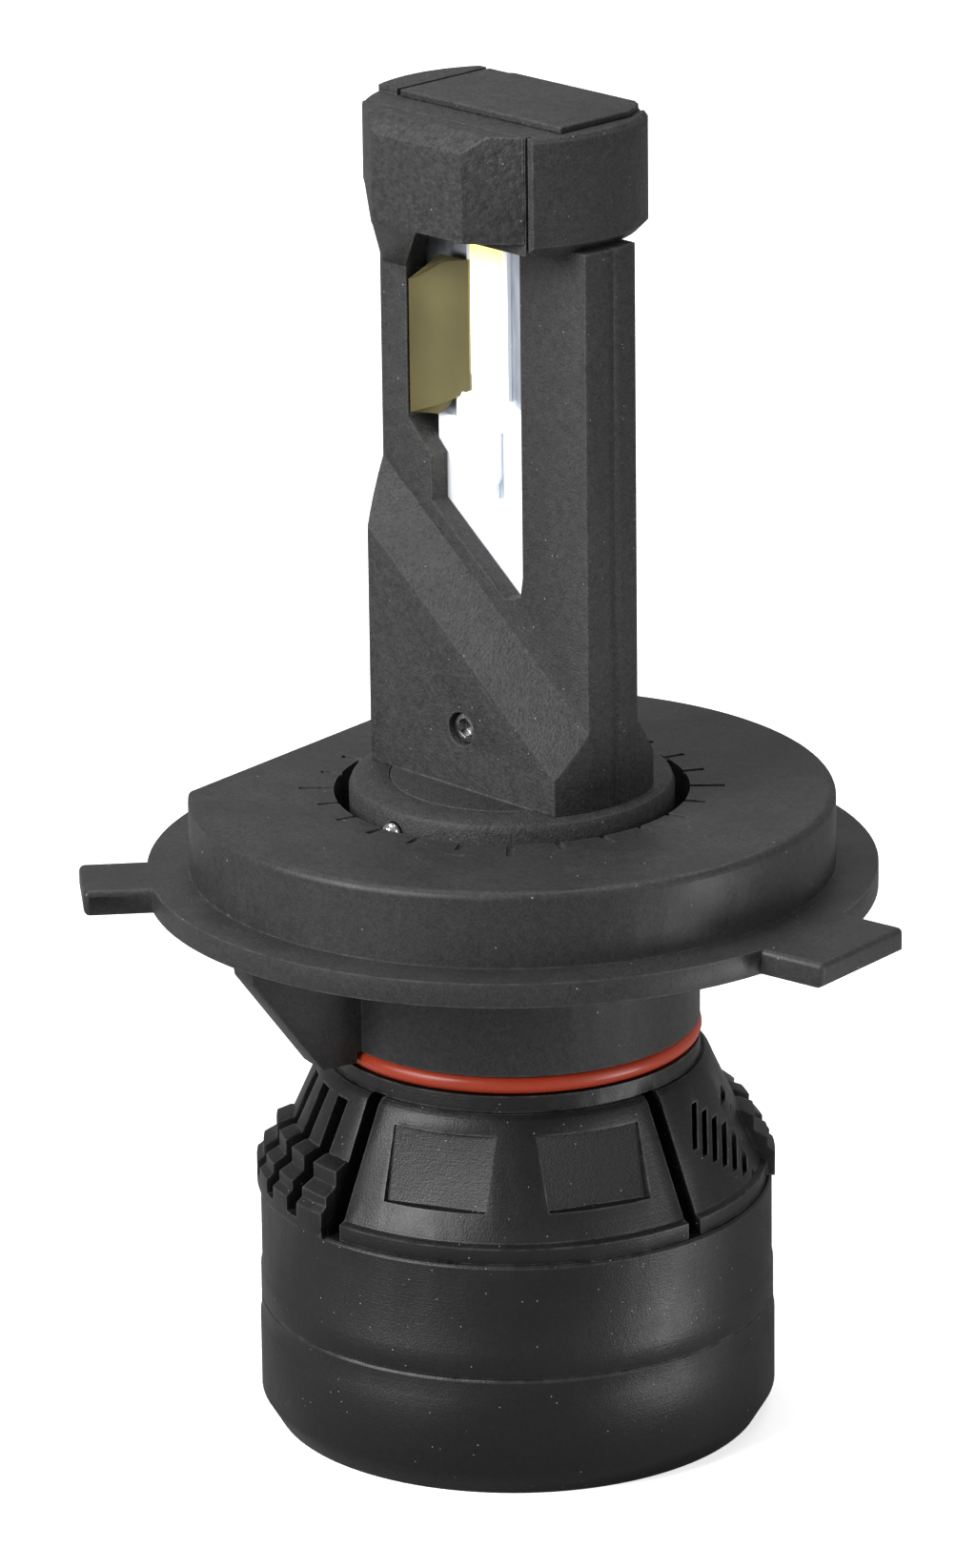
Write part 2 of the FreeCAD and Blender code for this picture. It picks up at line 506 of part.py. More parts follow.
def make_cap():
    top = "(cap_low + cap_high)"
    round_cap = turned("CapRound", [("0", "cap_low"), ("cap_r - cap_chamfer", "cap_low"),
                                    ("cap_r", "cap_low + cap_chamfer"), ("cap_r", top + " - cap_edge"),
                                    ("cap_r - cap_edge", top), ("0", top)])
    middle = common("CapMiddle", round_cap, box("CapDepth", ("-beyond", "beyond"), ("-cap_half", "cap_half"),
                                                ("0", "2 * beyond")))
    rim = common("CapRim", cylinder("CapRimRound", "cap_r - rim_inset", top, top + " + plate_high"),
                 box("CapRimDepth", ("-beyond", "plate_left - rim_gap"), ("plate_from", "plate_to"),
                     ("0", "2 * beyond")))
    socket = box("CapSocket", ("-core_wide / 2 - seat_gap", "core_wide / 2 + seat_gap"),
                 ("-core_half - seat_gap", "core_half + seat_gap"), ("0", "cap_low + core_top + seat_gap"))
    groove = box("CapGroove", ("mask_right_end", "mask_right_end + groove_wide"),
                 ("-cap_half", "-cap_half + groove_deep"), ("0", "2 * beyond"))
    corner = cheek("CapCheek")
    node("tower_cap", cut("TowerCap", fuse("CapWhole", middle, rim), socket, groove,
                          mirrored("CapGrooveRear", groove), corner, mirrored("CapCheekRear", corner)))

    low = "cap_low + mask_low"
    blank = padded("MaskBlank", "XY_Plane", [
        ("-mask_end", "-cap_half"), ("mask_left", "-mask_face"), ("mask_right", "-mask_face"),
        ("mask_right_end", "-cap_half")], "4 * beyond")
    profile = padded("MaskProfile", "YZ_Plane", [
        ("-cap_half", low), ("-mask_face", low), ("-mask_face", top + " - mask_bevel"),
        ("-mask_face + mask_bevel", top), ("-cap_half", top)], "beyond")
    chin_plan = padded("ChinPlan", "XY_Plane", [
        ("win_left", "-slab_half"), ("chin_left", "-slab_half"), ("-mask_end", "-cap_half"),
        ("mask_left", "-mask_face"), ("chin_reach", "-mask_face")], "4 * beyond")
    chin_side = padded("ChinSide", "YZ_Plane", [
        ("-slab_half", "cap_low - chin_low"), ("-mask_face", low), ("-mask_face", low + " + mask_low"),
        ("-cap_half", low + " + mask_low"), ("-cap_half", "cap_low - mask_low / 5"),
        ("-slab_half", "cap_low - mask_low / 5")], "beyond")
    shaped = cut("MaskShaped", fuse("MaskWhole", common("MaskSolid", blank, profile),
                                    common("MaskChin", chin_plan, chin_side)), cheek("MaskCheek"))
    front = node("front_mask", shaped)
    node("rear_mask", mirrored("RearMask", front))

    plate = box("CapPlateBlock", ("plate_left", "plate_right"), ("plate_from", "plate_to"),
                (top, top + " + plate_high"))
    node("cap_plate", common("CapPlate", plate, cylinder("CapPlateRound", "plate_r", top, "2 * beyond")))


# ----------------------------------------------------------------------------------------
# Light source
# ----------------------------------------------------------------------------------------
def make_light_source():
    node("copper_core", padded("CopperCore", "XZ_Plane", plate_outline("0"), "2 * core_half"))

    board = padded("LedBoardBlank", "XZ_Plane", board_outline("0"), "2 * core_half + 2 * board_thick")
    side = box("LedBoardSide", ("-beyond", "beyond"), ("-beyond", "-core_half"), ("-beyond", "2 * beyond"))
    notch = box("LedBoardNotch", ("notch_left", "notch_left + notch_wide"), ("-beyond", "0"),
                ("notch_low", "notch_high"))
    front = node("led_board_front", cut("LedBoardFront", common("LedBoardHalf", board, side), notch))
    node("led_board_rear", mirrored("LedBoardRear", front))
    surface = "-core_half - board_thick"
    for beam in ("low_beam", "high_beam"):
        strip = box(beam.title().replace("_", "") + "Led",
                    ("%s_side - strip_wide / 2" % beam, "%s_side + strip_wide / 2" % beam),
                    (surface + " - led_thick", surface), ("%s_from" % beam, "%s_to" % beam))
        node(beam + "_led_front", strip)
        node(beam + "_led_rear", mirrored(strip.Name + "Rear", strip))

    face = "-slab_half + shield_front"
    lip = "-core_half - board_thick - shield_lip"
    reach = "(board_left - win_left - shield_gap)"
    scoop = padded("ShieldScoop", "XY_Plane", [
        ("win_left + shield_gap", "-core_half"), ("win_left + shield_gap", face),
        ("win_left + 0.1 * %s" % reach, face + " + shield_gap"),
        ("win_left + 0.17 * %s" % reach, face + " + 4 * shield_gap"),
        ("win_left + 0.3 * %s" % reach, lip + " - 2 * shield_gap"),
        ("win_left + 0.55 * %s" % reach, lip + " - shield_gap / 2"), ("board_left + 3 * shield_gap", lip),
        ("board_left + 3 * shield_gap", lip + " + shield_gap"), ("board_left - shield_gap", lip + " + shield_gap"),
        ("board_left - shield_gap", "-core_half")], "4 * beyond")
    height = padded("ShieldHeight", "XZ_Plane", [
        ("-beyond", "shield_low"), ("win_low_left", "shield_low"),
        ("high_beam_side - strip_wide / 2 - shield_gap", "high_beam_to + shield_gap"),
        ("0", "high_beam_to + shield_gap"), ("0", "win_top - 2 * win_corner"),
        ("-beyond", "win_top - 2 * win_corner")], "2 * beyond")
    shield = node("low_beam_shield_front", common("LowBeamShield", scoop, height))
    node("low_beam_shield_rear", mirrored("LowBeamShieldRear", shield))


# ----------------------------------------------------------------------------------------
# Driver
# ----------------------------------------------------------------------------------------
def make_driver():
    node("driver_board", cylinder("DriverBoard", "driver_r", "board_seat - driver_thick", "board_seat"))
    node("driver_inductor", cylinder("DriverInductor", "choke_r", "board_seat", "board_seat + choke_high",
                                     along="choke_at", across="choke_side"))
    node("driver_capacitors", group("DriverCapacitors", *[
        cylinder("Capacitor%d" % number, "can_r", "board_seat", "board_seat + can_high",
                 along="can_at", across=across) for number, across in enumerate(("-can_side", "can_side"))]))
    node("driver_chip", box("DriverChip", ("-chip_wide / 2", "chip_wide / 2"),
                            ("chip_side", "chip_side + chip_wide"), ("board_seat", "board_seat + chip_high")))


# ----------------------------------------------------------------------------------------
# Fan housing, intake grille and cable inlet
# ----------------------------------------------------------------------------------------
def make_housing():
    inner = "(shell_top_r - shell_wall)"
    shell = turned("ShellBlank", [
        (inner, "foot_z"), ("shell_top_r - shell_ease", "foot_z"), ("shell_top_r", "foot_z - shell_ease"),
        ("shell_top_r", "step_one + shell_ease"), ("shell_mid_r", "step_one"),
        ("shell_mid_r", "line_at + line_cut"), ("shell_mid_r - line_cut", "line_at"),
        ("shell_mid_r", "line_at - line_cut"), ("shell_mid_r", "step_two + shell_ease"),
        ("shell_low_r", "step_two"), ("shell_low_r", "shell_low + chamfer_high"),
        ("shell_low_r - chamfer_in", "shell_low"), (inner, "shell_low"),
        (inner, "shell_low + grille_thick"), ("lip_r", "shell_low + grille_thick"),
        ("lip_r", "shell_low + grille_thick + lip_thick"), (inner, "shell_low + grille_thick + lip_thick")])
    hole = turned("InletHole", [("seat_r", "0"), ("beyond", "0"), ("beyond", "inlet_r + inlet_gap"),
                                ("seat_r", "inlet_r + inlet_gap")], "H_Axis")
    place(hole, up="inlet_high", turn="inlet_angle")
    taps = [cylinder("Tap%d" % number, "screw_r", "shell_low", "shell_low + grille_thick + 2 * lip_thick",
                     along="screw_at", turn="%g" % (number * 360 / COVER_SCREWS))
            for number in range(COVER_SCREWS)]
    node("fan_housing", cut("FanHousing", shell, hole, *taps))

    wall = "(shell_top_r - shell_wall)"
    grommet = turned("CableGrommet", [
        (wall + " - 2 * inlet_lip", "inlet_hole"), ("shell_top_r + inlet_out", "inlet_hole"),
        ("shell_top_r + inlet_out", "inlet_flange - inlet_ease"),
        ("shell_top_r + inlet_out - inlet_ease", "inlet_flange"),
        ("shell_top_r + inlet_gap", "inlet_flange"), ("shell_top_r + inlet_gap", "inlet_r"),
        (wall + " - inlet_lip", "inlet_r"), (wall + " - inlet_lip", "inlet_flange"),
        (wall + " - 2 * inlet_lip", "inlet_flange")],
        "H_Axis")
    node("cable_grommet", place(grommet, up="inlet_high", turn="inlet_angle"))


def above(size):
    """A height measured up from the housing's lowest face."""
    return "(shell_low + %s)" % size


def make_grille():
    top = above("grille_thick")
    middle_r = "(lip_r + grille_hub_r) / 2"
    outer = ring("GrilleRing", "lip_r", "shell_top_r - shell_wall - grille_gap", "shell_low", top)
    hub = turned("GrilleHub", [
        ("sleeve_out", above("hub_floor")), ("sleeve_out", above("tube_high")), ("tube_r", above("tube_high")),
        ("tube_r", top), ("grille_hub_r", top), ("grille_hub_r", "shell_low"), ("0", "shell_low"),
        ("0", above("hub_floor"))])
    middle = ring("GrilleMiddle", middle_r + " - spoke_wide / 3", middle_r + " + spoke_wide / 3",
                  "shell_low", top)
    spokes = [box("Spoke%d" % number, ("grille_hub_r - spoke_wide / 2", "lip_r + spoke_wide / 2"),
                  ("-spoke_wide / 2", "spoke_wide / 2"), ("shell_low", top), "%g" % (45 + number * 360 / SPOKES))
              for number in range(SPOKES)]
    whole = fuse("GrilleWhole", outer, hub, middle, *spokes)
    holes = []
    screws = []
    for number in range(COVER_SCREWS):
        turn = "%g" % (number * 360 / COVER_SCREWS)
        holes.append(cylinder("ScrewHole%d" % number, "screw_r + grille_gap", "2 * shell_low", top + " + lip_thick",
                              along="screw_at", turn=turn))
        holes.append(cylinder("ScrewSink%d" % number, "screw_head_r + grille_gap", "2 * shell_low",
                              above("screw_head"), along="screw_at", turn=turn))
        shank = cylinder("Shank%d" % number, "screw_r", above("grille_gap"), top + " + lip_thick * 0.8",
                         along="screw_at", turn=turn)
        head = cylinder("Head%d" % number, "screw_head_r", above("grille_gap"), above("screw_head"),
                        along="screw_at", turn=turn)
        screws.append(fuse("Screw%d" % number, shank, head))
    node("intake_grille", cut("IntakeGrille", whole, *holes))
    node("cover_screws", group("CoverScrews", *screws))


# ----------------------------------------------------------------------------------------
# Fan motor and rotor
# ----------------------------------------------------------------------------------------
def make_fan():
    node("fan_board", ring("FanBoard", "tube_r + seat_gap", "fan_board_r", above("grille_thick"),
                           above("grille_thick + fan_board_thick")))
    node("bearing_sleeve", ring("BearingSleeve", "sleeve_in", "sleeve_out - seat_gap", above("hub_floor"),
                                above("tube_high")))
    low = above("stator_low")
    high = above("stator_high")
    hub = ring("StatorHub", "tube_r + seat_gap", "tube_r + stator_hub", low, high)
    poles = []
    coils = []
    for number in range(POLES):
        turn = "%g" % (number * 360 / POLES)
        poles.append(box("PoleNeck%d" % number, ("tube_r + stator_hub / 2", "stator_r - stator_hub / 2"),
                         ("-neck_wide / 2", "neck_wide / 2"), (low, high), turn))
        poles.append(box("PoleShoe%d" % number, ("stator_r - stator_hub", "2 * stator_r"),
                         ("-shoe_wide / 2", "shoe_wide / 2"), (low, high), turn))
        outside = box("CoilOutside%d" % number, ("tube_r + stator_hub + coil_gap", "stator_r - stator_hub - coil_gap"),
                      ("-coil_wide / 2", "coil_wide / 2"),
                      (low + " - coil_room / 2", high + " + coil_room"), turn)
        inside = box("CoilInside%d" % number, ("tube_r", "stator_r"),
                     ("-neck_wide / 2 - coil_gap", "neck_wide / 2 + coil_gap"),
                     (low + " - coil_gap", high + " + coil_gap"), turn)
        coils.append(cut("Coil%d" % number, outside, inside))
    star = common("StatorStar", fuse("StatorPoles", *poles), cylinder("StatorRound", "stator_r", low, high))
    node("fan_stator", fuse("FanStator", hub, star))
    node("fan_coils", group("FanCoils", *coils))

    roof = above("cup_top - cup_plate")
    body = turned("FanRotor", [
        ("0", above("cup_top")), ("cup_r - cup_bevel", above("cup_top")), ("cup_r", above("cup_top - cup_bevel")),
        ("cup_r", above("cup_low")), ("cup_r - cup_wall", above("cup_low")), ("cup_r - cup_wall", roof),
        ("0", roof)])
    profile = outline(body, "BladeOutline", "YZ_Plane", [
        ("-blade_sweep", above("blade_low")), ("-blade_sweep + blade_thick", above("blade_low")),
        ("blade_sweep", above("blade_high")), ("blade_sweep - blade_thick", above("blade_high"))])
    doc.recompute()
    blade = body.newObject("PartDesign::Pad", "Blade")
    blade.Profile = profile
    blade.Type = "Length"
    bind(blade, Length="blade_tip")
    doc.recompute()
    pattern = body.newObject("PartDesign::PolarPattern", "Blades")
    pattern.Originals = [blade]
    pattern.Axis = (body.Origin.OriginFeatures[2], [""])
    pattern.Angle = 360
    pattern.Occurrences = BLADES
    body.Tip = pattern
    hollow = ring("RotorHollow", "0", "cup_r - cup_wall", above("0"), roof)
    node("fan_rotor", cut("FanRotorWhole", body, hollow))
    node("rotor_magnet", ring("RotorMagnet", "cup_r - cup_wall - magnet_thick", "cup_r - cup_wall",
                              above("cup_low"), roof))
    node("fan_shaft", cylinder("FanShaft", "sleeve_in - shaft_gap", above("shaft_low"), roof))


# ----------------------------------------------------------------------------------------
# Build, test and write
# ----------------------------------------------------------------------------------------
def test_and_write():
    """Stops on any failed object or bad sub-part, then writes one file for each sub-part."""
    doc.recompute()
    for thing in doc.Objects:
        if "Invalid" in thing.State or "Error" in thing.State:
            raise RuntimeError("%s (%s) failed: %s" % (thing.Name, thing.Label, thing.State))
    for label, thing in NODES.items():
        if thing.Shape.isNull() or not thing.Shape.isValid() or not thing.Shape.Solids:
            raise RuntimeError("%s has no valid solid" % label)
    os.makedirs("parts", exist_ok=True)
    for label, thing in NODES.items():
        thing.Shape.exportStep("parts/%s.step" % label)
        print("%-20s %d solids %10.3f mm3" % (label, len(thing.Shape.Solids), thing.Shape.Volume))


make_adapter()
make_collar_and_seal()
make_heat_sink()
make_tower()
make_cap()
make_light_source()
make_driver()
make_housing()
make_grille()
make_fan()
test_and_write()
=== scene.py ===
"""Looks of a retrofit headlight bulb: cast tower, lit emitters, index adapter, finned sink and fan base.

Everything is in metres, with +Z up the bulb's axis and the adapter ring's top face at Z = 0.
"""
import json
import math

import bmesh
import bpy
import numpy as np
from bpy.props import FloatProperty, FloatVectorProperty, IntProperty, PointerProperty
from mathutils import Matrix, Vector


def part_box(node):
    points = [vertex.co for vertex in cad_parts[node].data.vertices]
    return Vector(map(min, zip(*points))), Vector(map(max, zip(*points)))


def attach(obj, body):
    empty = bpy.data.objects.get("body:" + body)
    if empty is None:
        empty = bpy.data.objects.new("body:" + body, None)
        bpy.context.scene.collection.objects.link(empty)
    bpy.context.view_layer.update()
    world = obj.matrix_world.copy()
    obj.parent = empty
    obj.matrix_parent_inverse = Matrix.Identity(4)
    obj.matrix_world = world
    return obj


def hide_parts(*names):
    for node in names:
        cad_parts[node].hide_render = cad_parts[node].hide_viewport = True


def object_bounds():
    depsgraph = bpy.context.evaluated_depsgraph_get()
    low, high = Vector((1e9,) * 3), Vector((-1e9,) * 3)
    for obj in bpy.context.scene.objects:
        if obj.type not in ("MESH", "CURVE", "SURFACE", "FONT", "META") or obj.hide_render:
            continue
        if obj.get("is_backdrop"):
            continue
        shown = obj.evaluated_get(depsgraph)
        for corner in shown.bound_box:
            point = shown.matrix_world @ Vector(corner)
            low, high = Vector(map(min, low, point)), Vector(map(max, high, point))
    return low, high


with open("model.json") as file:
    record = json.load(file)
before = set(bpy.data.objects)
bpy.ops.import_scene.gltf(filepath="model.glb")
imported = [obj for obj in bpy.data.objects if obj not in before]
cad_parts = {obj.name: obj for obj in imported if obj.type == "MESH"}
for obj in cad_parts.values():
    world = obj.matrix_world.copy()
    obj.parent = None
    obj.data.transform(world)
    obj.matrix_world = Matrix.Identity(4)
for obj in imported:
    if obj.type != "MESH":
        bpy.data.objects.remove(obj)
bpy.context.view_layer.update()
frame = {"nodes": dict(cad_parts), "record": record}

bl_info = {
    "name": "Headlight bulb finish",
    "version": (1, 0, 0),
    "blender": (4, 5, 0),
    "location": "View3D > Sidebar > Bulb",
    "description": "Cast, seal, emitter and fan looks for a retrofit headlight bulb",
    "category": "Object",
}


# ----------------------------------------------------------------------------------------
# Sizes and colours
# ----------------------------------------------------------------------------------------
def length(name, description, default):
    return FloatProperty(name=name, description=description, default=default, unit="LENGTH", precision=5)


def colour(name, description, default):
    return FloatVectorProperty(name=name, description=description, default=default, subtype="COLOR",
                               size=3, min=0, max=1)


class BulbSizes(bpy.types.PropertyGroup):
    """Sizes of the finish that the frame doesn't hold."""
    cast_ease: length("Cast edge", "Rounding of cast edges", 0.00016)
    machined_ease: length("Machined edge", "Rounding of machined edges", 0.00009)
    claw_ease: length("Claw edge", "Rounding of the sink's claws", 0.00022)
    bead_rise: length("Bead rise", "How far an emitter's silicone bead is rounded at its rim", 0.0002)
    # the ridge round the lower emitter is a painted highlight: a faintly glowing white wire standing for the
    # flare's ring of light
    ridge: length("Ridge", "Radius of the clear ridge round the lower emitter", 0.00012)
    lamp_board_ease: length("LED board edge", "Rounding of the LED boards' edges", 0.00003)
    board_ease: length("Board edge", "Rounding of the green boards' edges", 0.00004)
    coil_ease: length("Coil edge", "Rounding of the fan's coils", 0.00025)
    shield_lip: length("Shield lip", "Thickness of a light shield at its foot", 0.00045)
    hex_key: length("Hex key", "Half the width across flats of the clamp screws' sockets", 0.00048)
    cross_slot: length("Cross slot", "Half the width of a cover screw's slot", 0.00014)
    blade_camber: length("Blade camber", "How far a fan blade bulges", 0.0005)
    blade_thick: length("Blade thickness", "Half a fan blade's greatest thickness", 0.0004)
    round_count: IntProperty(name="Round count", description="Facets round a turned piece", default=128)


class BulbFinish(bpy.types.PropertyGroup):
    """Colours of the finishes."""
    cast: colour("Cast black", "Colour of the black cast aluminium", (0.036, 0.0352, 0.0362))
    cast_light: colour("Cast light", "Colour of its rubbed edges and grains", (0.27, 0.262, 0.255))
    satin: colour("Satin black", "Colour of the adapter's satin coat", (0.026, 0.0258, 0.0262))
    blasted: colour("Blasted black", "Colour of the sink and housing", (0.0055, 0.0053, 0.0052))
    seal: colour("Seal", "Colour of the silicone ring", (0.38, 0.038, 0.012))
    phosphor: colour("Phosphor", "Colour of the emitter strips", (0.93, 0.86, 0.28))
    scoop: colour("Scoop", "Colour of the light shields", (0.17, 0.15, 0.066))
    glow: FloatProperty(name="Glow", description="Strength of the lit emitters", default=3.2, min=0)


class BulbStage(bpy.types.PropertyGroup):
    """Camera, lights and floor."""
    eye: FloatVectorProperty(name="Eye", description="Where the camera stands", subtype="TRANSLATION",
                             size=3, unit="LENGTH", default=(0.32527, -0.31605, 0.15754))
    aim: FloatVectorProperty(name="Aim", description="Where the camera looks", subtype="TRANSLATION",
                             size=3, unit="LENGTH", default=(-0.00097, -0.001004, 0.004674))
    roll: FloatProperty(name="Roll", description="The camera's turn about its line of sight",
                        subtype="ANGLE", default=math.radians(-0.689))
    lens: FloatProperty(name="Lens", description="Focal length in millimetres", default=187.53)
    floor: FloatProperty(name="Floor", description="Half the floor's side", default=3.0, unit="LENGTH")
    sky: FloatProperty(name="Sky", description="Strength of the light from all round", default=0.3, min=0)
    key: FloatProperty(name="Key", description="Strength of the main soft light", default=7.5, min=0)
    fill: FloatProperty(name="Fill", description="Strength of the right-hand soft light", default=1.2, min=0)
    side: FloatProperty(name="Side", description="Strength of the low lamp beside the housing",
                        default=0.022, min=0)
    crown: FloatProperty(name="Crown", description="Strength of the soft light above", default=3.5, min=0)


# ----------------------------------------------------------------------------------------
# Meshes
# ----------------------------------------------------------------------------------------
def settle(piece, body, slot, *nodes):
    """Links a piece, makes it ride on `body` and stand for `nodes`, and gives it the slot's finish."""
    bpy.context.scene.collection.objects.link(piece)
    piece.data.materials.append(FINISHES[slot])
    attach(piece, body)
    if nodes:
        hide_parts(*nodes)
    return piece


def stacked(name, rings, body, slot, *nodes, closed=False, smooth=35.0):
    """A skin over rings of points, an array (ring, place round it, xyz): each ring is joined to the next by
    four-sided faces, the last one to the first too if `closed`. Rings shrunk to a point close the ends."""
    rings = np.asarray(rings, float)
    sets = rings.reshape(-1, *rings.shape[-3:])
    _, rows, around, _ = sets.shape
    row = np.arange(rows if closed else rows - 1)[:, None]
    place = np.arange(around)[None, :]
    after_row = (row + 1) % rows
    after = (place + 1) % around
    faces = np.stack([row * around + place, row * around + after, after_row * around + after,
                      after_row * around + place], -1).reshape(-1, 4)
    faces = np.concatenate([faces + number * rows * around for number in range(len(sets))])
    mesh = bpy.data.meshes.new(name)
    mesh.from_pydata(sets.reshape(-1, 3).tolist(), [], faces.tolist())
    shape = bmesh.new()
    shape.from_mesh(mesh)
    bmesh.ops.remove_doubles(shape, verts=shape.verts, dist=1e-7)
    bmesh.ops.dissolve_degenerate(shape, edges=shape.edges, dist=1e-7)
    bmesh.ops.recalc_face_normals(shape, faces=shape.faces)
    shape.to_mesh(mesh)
    shape.free()
    mesh.shade_smooth()
    mesh.set_sharp_from_angle(angle=math.radians(smooth))
    return settle(bpy.data.objects.new(name, mesh), body, slot, *nodes)


def turned(profile, count, centre=(0, 0)):
    """Rings of a profile of (radius, height) pairs turned about Z through `centre`."""
    profile = np.asarray(profile, float)
    angle = np.arange(count) * 2 * math.pi / count
    radius = profile[:, 0, None]
    return np.stack([centre[0] + radius * np.cos(angle), centre[1] + radius * np.sin(angle),
                     np.broadcast_to(profile[:, 1, None], (len(profile), count))], -1)


def rounded_profile(corners, ease, steps=4):
    """A profile whose inner corners are each replaced by a quarter-like arc: the point at share t between
    the two trimmed ends A and B is (1-t)^2 A + 2t(1-t) corner + t^2 B."""
    corners = np.asarray(corners, float)
    before, corner, after = corners[:-2], corners[1:-1], corners[2:]
    reach = np.minimum(ease, 0.45 * np.minimum(np.linalg.norm(before - corner, axis=1),
                                               np.linalg.norm(after - corner, axis=1)))[:, None]
    start = corner + (before - corner) / np.linalg.norm(before - corner, axis=1)[:, None] * reach
    end = corner + (after - corner) / np.linalg.norm(after - corner, axis=1)[:, None] * reach
    share = np.linspace(0, 1, steps)[None, :, None]
    arc = (1 - share) ** 2 * start[:, None] + 2 * share * (1 - share) * corner[:, None] \
        + share ** 2 * end[:, None]
    return np.concatenate([corners[:1], arc.reshape(-1, 2), corners[-1:]])


def oblong(half_wide, half_high, corner, count=10):
    """Points round a rectangle with rounded corners: a quarter circle of radius `corner` at each one."""
    turn = np.linspace(0, math.pi / 2, count)
    starts = (1, 1, 0), (-1, 1, math.pi / 2), (-1, -1, math.pi), (1, -1, 1.5 * math.pi)
    parts = [(sx * (half_wide - corner) + corner * np.cos(turn + start),
              sy * (half_high - corner) + corner * np.sin(turn + start)) for sx, sy, start in starts]
    return np.concatenate([np.stack(part, -1) for part in parts])


def swept(path, radius, count=12):
    """Rings of a round wire along a path: round each point, radius * (cos a * side + sin a * lift), with side
    and lift square to the path's direction."""
    path = np.asarray(path, float)
    along = np.gradient(path, axis=0)
    along /= np.linalg.norm(along, axis=1)[:, None]
    guide = np.where(np.abs(along[:, 1:2]) < 0.9, [[0.0, 1.0, 0.0]], [[1.0, 0.0, 0.0]])
    side = np.cross(guide, along)
    side /= np.linalg.norm(side, axis=1)[:, None]
    lift = np.cross(along, side)
    angle = np.arange(count) * 2 * math.pi / count
    rings = path[:, None] + radius * (np.cos(angle)[None, :, None] * side[:, None]
                                      + np.sin(angle)[None, :, None] * lift[:, None])
    return np.concatenate([np.broadcast_to(path[:1, None], rings[:1].shape), rings,
                           np.broadcast_to(path[-1:, None], rings[:1].shape)])


def capped(rings):
    """Rings with a point put at the middle of the first and of the last one, which closes the ends."""
    ends = rings.mean(1, keepdims=True)
    return np.concatenate([np.broadcast_to(ends[:1], rings[:1].shape), rings,
                           np.broadcast_to(ends[-1:], rings[:1].shape)])


def spread_out(value, low, high):
    """The share of the way that a value lies from low to high, held to 0...1."""
    return np.clip((value - low) / (high - low), 0, 1)


def eased_copy(node, body, slot, width, angle=32.0, segments=2):
    """A copy of a frame part with its seams merged and its sharp edges rounded by `width`, except those in
    the plane where the tower's halves meet."""
    shape = bmesh.new()
    shape.from_mesh(frame["nodes"][node].data)
    bmesh.ops.remove_doubles(shape, verts=shape.verts, dist=2e-6)
    bmesh.ops.dissolve_limit(shape, angle_limit=math.radians(0.6), verts=shape.verts, edges=shape.edges)
    weight = shape.edges.layers.float.new("bevel_weight_edge")
    for edge in shape.edges:
        joint = max(abs(vert.co.y) for vert in edge.verts) < 1e-5
        edge[weight] = float(not joint and edge.calc_face_angle(0.0) > math.radians(angle))
    mesh = bpy.data.meshes.new(node + "_eased")
    shape.to_mesh(mesh)
    shape.free()
    mesh.materials.clear()
    mesh.shade_smooth()
    piece = settle(bpy.data.objects.new(node + "_eased", mesh), body, slot, node)
    ease = piece.modifiers.new("Eased edges", "BEVEL")
    ease.width = width
    ease.segments = segments
    ease.limit_method = "WEIGHT"
    ease.harden_normals = True
    ease.use_clamp_overlap = True
    return piece


def node_slot(node):
    """The name of the slot that a frame part's material stands for."""
    return frame["nodes"][node].data.materials[0].name.split(".")[0]


# ----------------------------------------------------------------------------------------
# Shader groups
# ----------------------------------------------------------------------------------------
def put(tree, kind, settings=None, **sockets):
    """A shader node with its settings and its input sockets: a value is set, an output is linked. A name
    like `i6` is the socket's place, and `Noise_Scale` is the socket called "Noise Scale"."""
    made = tree.nodes.new("ShaderNode" + kind)
    for key, value in (settings or {}).items():
        setattr(made, key, value)
    for key, value in sockets.items():
        socket = made.inputs[int(key[1:]) if key[0] == "i" and key[1:].isdigit() else key.replace("_", " ")]
        if isinstance(value, bpy.types.NodeSocket):
            tree.links.new(value, socket)
        elif isinstance(value, tuple) and len(value) == 3 and socket.type == "RGBA":
            socket.default_value = (*value, 1)
        else:
            socket.default_value = value
    return made


def sums(tree, operation, one, two=0.0):
    """The result of a Math node."""
    return put(tree, "Math", {"operation": operation}, i0=one, i1=two).outputs[0]


def blended(tree, share, one, two):
    """Colour between two colours by a share."""
    return put(tree, "Mix", {"data_type": "RGBA"}, i0=share, i6=one, i7=two).outputs[2]


def spread(tree, value, low, high, to_low=0.0, to_high=1.0):
    return put(tree, "MapRange", None, Value=value, From_Min=low, From_Max=high, To_Min=to_low,
               To_Max=to_high).outputs[0]


def new_group(name, inputs, outputs):
    """A shader group with float inputs and the outputs given as (name, type)."""
    tree = bpy.data.node_groups.new(name, "ShaderNodeTree")
    for label, value in inputs:
        tree.interface.new_socket(label, in_out="INPUT", socket_type="NodeSocketFloat").default_value = value
    for label, kind in outputs:
        tree.interface.new_socket(label, in_out="OUTPUT", socket_type="NodeSocket" + kind)
    given = tree.nodes.new("NodeGroupInput")
    out = tree.nodes.new("NodeGroupOutput")
    return tree, given.outputs, lambda label, socket: tree.links.new(socket, out.inputs[label])


